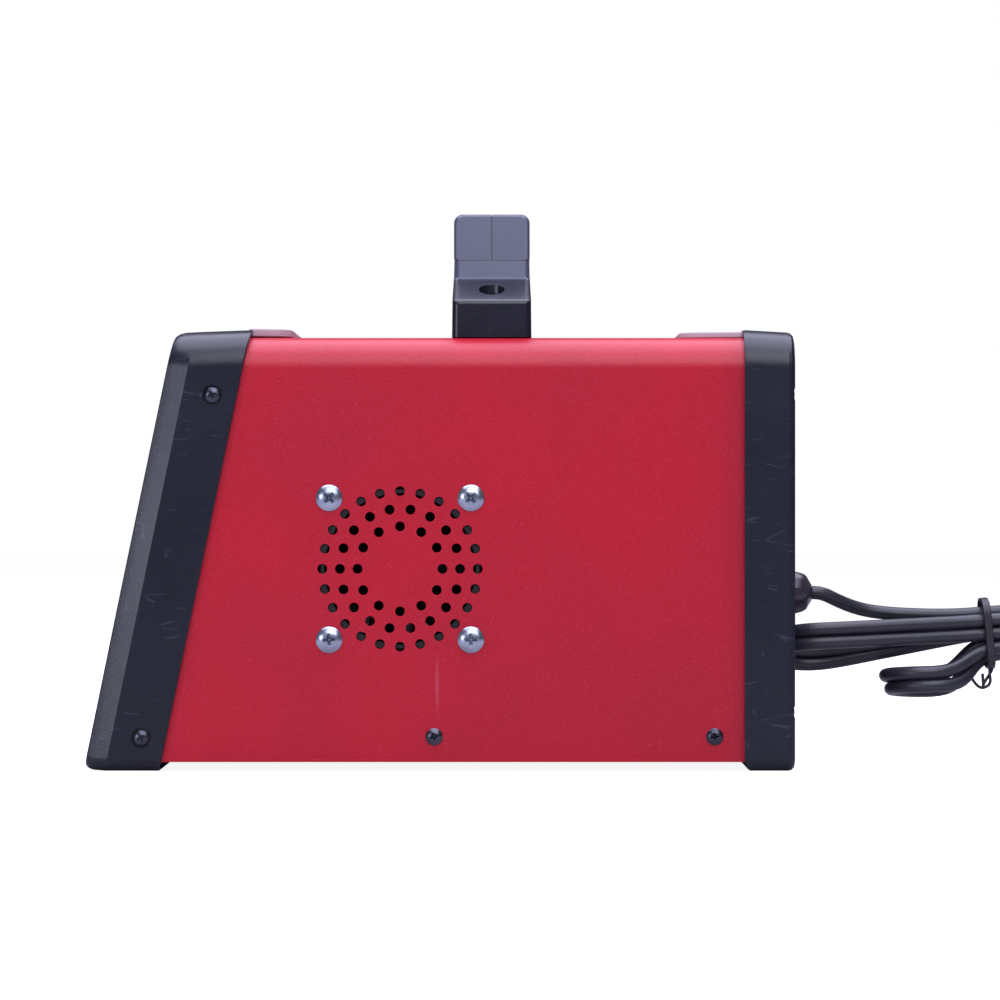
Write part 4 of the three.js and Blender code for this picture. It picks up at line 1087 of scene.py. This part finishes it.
def makeSockets():
    body, bore, back, high = socket["body"], socket["bore"], socket["back"], socket["collarHeight"]
    collar, inner = socket["collar"], socket["body"] + 0.3
    for side, word in ((-1, "negative"), (1, "positive")):
        place = onPanel(side * socket["spread"] / 2, socket["up"])
        bm = bmesh.new()
        turned(bm, [
            (-high + 2, 0), (-high + 2, body - 0.4), (-high + 2.4, body), (back, body), (back, body * 0.6),
            (back + 8.6, body * 0.6), (back + 9, body * 0.56), (back + 9, 0),
        ], 64)
        hole = bmesh.new()
        turned(hole, [(-high - 2, 0), (-high - 2, bore), (back - 4, bore), (back - 4, 0)], 48)
        bm = cutAway(bm, hole)
        keyway = bmesh.new()
        addBlock(keyway, (-high, bore - 1, -1.7), (6, bore + 2, 1.7))
        bm = cutAway(bm, keyway)
        moved(bm, place)
        finishPiece(f"socket_insert_{word}", bm, "brass", [f"output_socket_{word}"], rounding=0.2)
        bm = bmesh.new()
        turned(bm, [
            (-high, inner), (-high, collar - 3), (-high + 0.4, collar - 2.2), (-high + 1.4, collar - 1.1),
            (-6, collar - 1), (-5.6, collar - 1.6), (-5, collar - 1.6), (-4.6, collar - 1),
            (-2.7, collar - 1), (-2.2, collar - 0.1), (-2, collar), (-0.5, collar), (-0.3, collar - 0.2),
            (-0.3, inner), (-high, inner),
        ], 72)
        moved(bm, place)
        node = f"socket_collar_{word}"
        finishPiece(f"socket_ring_{word}", bm, "grip", [node], angle=35)


def makeLamps():
    for word, (y, finish) in lamps.items():
        bm = bmesh.new()
        turned(bm, [
            (-3.0, 0), (-2.9, 0.8), (-2.6, 1.5), (-2.0, 2.1), (-1.3, 2.4), (-0.3, 2.5), (5, 2.5), (5, 0),
        ], 40)
        moved(bm, onPanel(y, 192))
        finishPiece(f"{word}_lens", bm, finish, [f"{word}_led"], angle=40)


makeKnob()
makeLegends()
makeSockets()
makeLamps()
print("front panel made")

# mains switch

switch = {
    "x": rearPanelX + 1.5, "y": 36.0, "z": 150.0, "half": 9.5, "tilt": math.radians(12),
    # the rocker's section: out of the panel, up
    "section": [
        (-4, -7), (3.6, -10.9), (4.6, -10.6), (3.9, -7), (3.2, -3), (3.0, 0),
        (3.2, 3), (3.9, 7), (4.6, 10.6), (3.6, 10.9), (-4, 7),
    ],
}


def makeSwitch():
    x, y, z = switch["x"], switch["y"], switch["z"]
    bm = bmesh.new()
    addBlock(bm, (rearPanelX - 22, y - 12.5, z - 16), (rearPanelX + 0.8, y + 12.5, z + 16))
    flange = bmesh.new()
    addBlock(flange, (rearPanelX + 0.3, y - 14.5, z - 18), (rearPanelX + 2.4, y + 14.5, z + 18))
    outer = [e for e in flange.edges if min(v.co.x for v in e.verts) > rearPanelX + 2]
    bmesh.ops.bevel(flange, geom=outer, offset=1.2, segments=4, affect="EDGES", profile=0.5, material=-1)
    for shape, tag in ((bm, "switch_body"), (flange, "switch_flange")):
        well = bmesh.new()
        addBlock(well, (x - 8, y - 10.1, z - 13.4), (case["rear"], y + 10.1, z + 13.4))
        nodes = ["power_switch_housing"] if tag == "switch_flange" else []
        finishPiece(tag, cutAway(shape, well), "plugPvc", nodes, rounding=0.2)
    bm = bmesh.new()
    face = bm.faces.new([bm.verts.new((out, -switch["half"], up)) for out, up in switch["section"]])
    pushed = bmesh.ops.extrude_face_region(bm, geom=[face])["geom"]
    farSide = [v for v in pushed if isinstance(v, bmesh.types.BMVert)]
    moved(bm, Matrix.Translation((0, switch["half"] * 2, 0)), farSide)
    place = Matrix.Translation((x, y, z)) @ Matrix.Rotation(switch["tilt"], 4, "Y")
    moved(bm, place)
    node = "power_switch_rocker"
    finishPiece("switch_rocker", bm, "grip", [node], "rocker", rounding=0.6, steps=4)
    bm = bmesh.new()
    addBlock(bm, (3.7, -0.5, 4.6), (4.3, 0.5, 8.6))
    ring = [(3.55, 1.5), (4.25, 1.5), (4.25, 2.3), (3.55, 2.3), (3.55, 1.5)]
    circle = turned(bm, ring, 36)
    moved(bm, Matrix.Translation((-0.05, 0, -6.4)), circle)
    moved(bm, place)
    finishPiece("switch_marks", bm, "ink", (), "rocker")


makeSwitch()
print("switch made")

# finishes on the pieces that keep their CAD shape

keptFinishes = {
    "blackSteel": ["front_panel", "rear_panel"],
    "zinc": ["base_tray"],
    "fan": ["fan_frame", "fan_impeller"],
    "aluminium": ["potentiometer", "potentiometer_shaft", "heatsink_input", "heatsink_output"],
    "board": ["power_board", "control_board"],
    "ferrite": ["transformer_core", "rectifier_bridge"],
    "copper": ["transformer_winding", "output_choke", "busbar_negative", "busbar_positive"],
    "sleeve": ["bus_capacitor_1", "bus_capacitor_2"],
}
for finish, nodes in keptFinishes.items():
    for node in nodes:
        frame["nodes"][node].material_slots[0].material = finishes[finish]
print("finishes set on the nodes that stay")

# light and floor

def addLamp(name, place, aim, size, power, colour="#ffffff"):
    lamp = bpy.data.lights.new(name, "AREA")
    lamp.shape = "RECTANGLE"
    lamp.size, lamp.size_y = size
    lamp.energy = power
    lamp.color = linear(colour)[:3]
    holder = bpy.data.objects.new(name, lamp)
    holder.location = place
    holder.rotation_euler = (Vector(aim) - Vector(place)).to_track_quat("-Z", "Y").to_euler()
    bpy.context.scene.collection.objects.link(holder)


def setLight():
    bpy.context.scene.view_settings.view_transform = "Standard"
    world = bpy.data.worlds.new("studio")
    bpy.context.scene.world = world
    world.use_nodes = True
    tree = world.node_tree
    seen = addNode(tree, "ShaderNodeLightPath")  # white to the eye, softer as a light
    fill = addNode(tree, "ShaderNodeBackground", {"Color": (0.9, 0.9, 1, 1), "Strength": 0.13})
    plain = addNode(tree, "ShaderNodeBackground", {"Color": (1, 1, 1, 1), "Strength": 1.0})
    both = addNode(tree, "ShaderNodeMixShader", {0: seen, 1: fill, 2: plain})
    tree.links.new(both, tree.nodes["World Output"].inputs["Surface"])
    addLamp("overhead softbox", (0.0, 0.09, 1.3), (0.0, 0.09, 0.1), (1.6, 1.5), 36, "#e4e4ff")
    addLamp("front softbox", (0.3, -1.55, 1.35), (0, 0, 0.12), (1.8, 1.3), 27, "#eeeeff")
    addLamp("left softbox", (-1.25, -1.45, 0.35), (-0.1, 0, 0.14), (0.7, 0.5), 7, "#e6e8ff")


# Matt white paper sweep: white to the eye, with a soft shadow only where the machine stands.
def makeFloor():
    bm = bmesh.new()
    bmesh.ops.create_grid(bm, x_segments=1, y_segments=1, size=8)
    moved(bm, Matrix.Translation((0, 0, -0.0003)))
    mesh = bpy.data.meshes.new("floor")
    bm.to_mesh(mesh)
    bm.free()
    floor = bpy.data.objects.new("floor", mesh)
    bpy.context.scene.collection.objects.link(floor)
    material, tree, shader, _ = startMaterial("white paper sweep", "#d8d8dc", 0.9)
    seen = addNode(tree, "ShaderNodeLightPath")
    glow = addNode(tree, "ShaderNodeEmission", {"Color": (1, 1, 1, 1), "Strength": 0.9})
    paper = addNode(tree, "ShaderNodeAddShader", {0: shader.outputs["BSDF"], 1: glow})
    dull = addNode(tree, "ShaderNodeBsdfDiffuse", {"Color": (0.45, 0.44, 0.47, 1)})
    both = addNode(tree, "ShaderNodeMixShader", {0: seen, 1: dull, 2: paper})
    tree.links.new(both, tree.nodes["Material Output"].inputs["Surface"])
    mesh.materials.append(material)


setLight()
makeFloor()
print("lights and floor set")
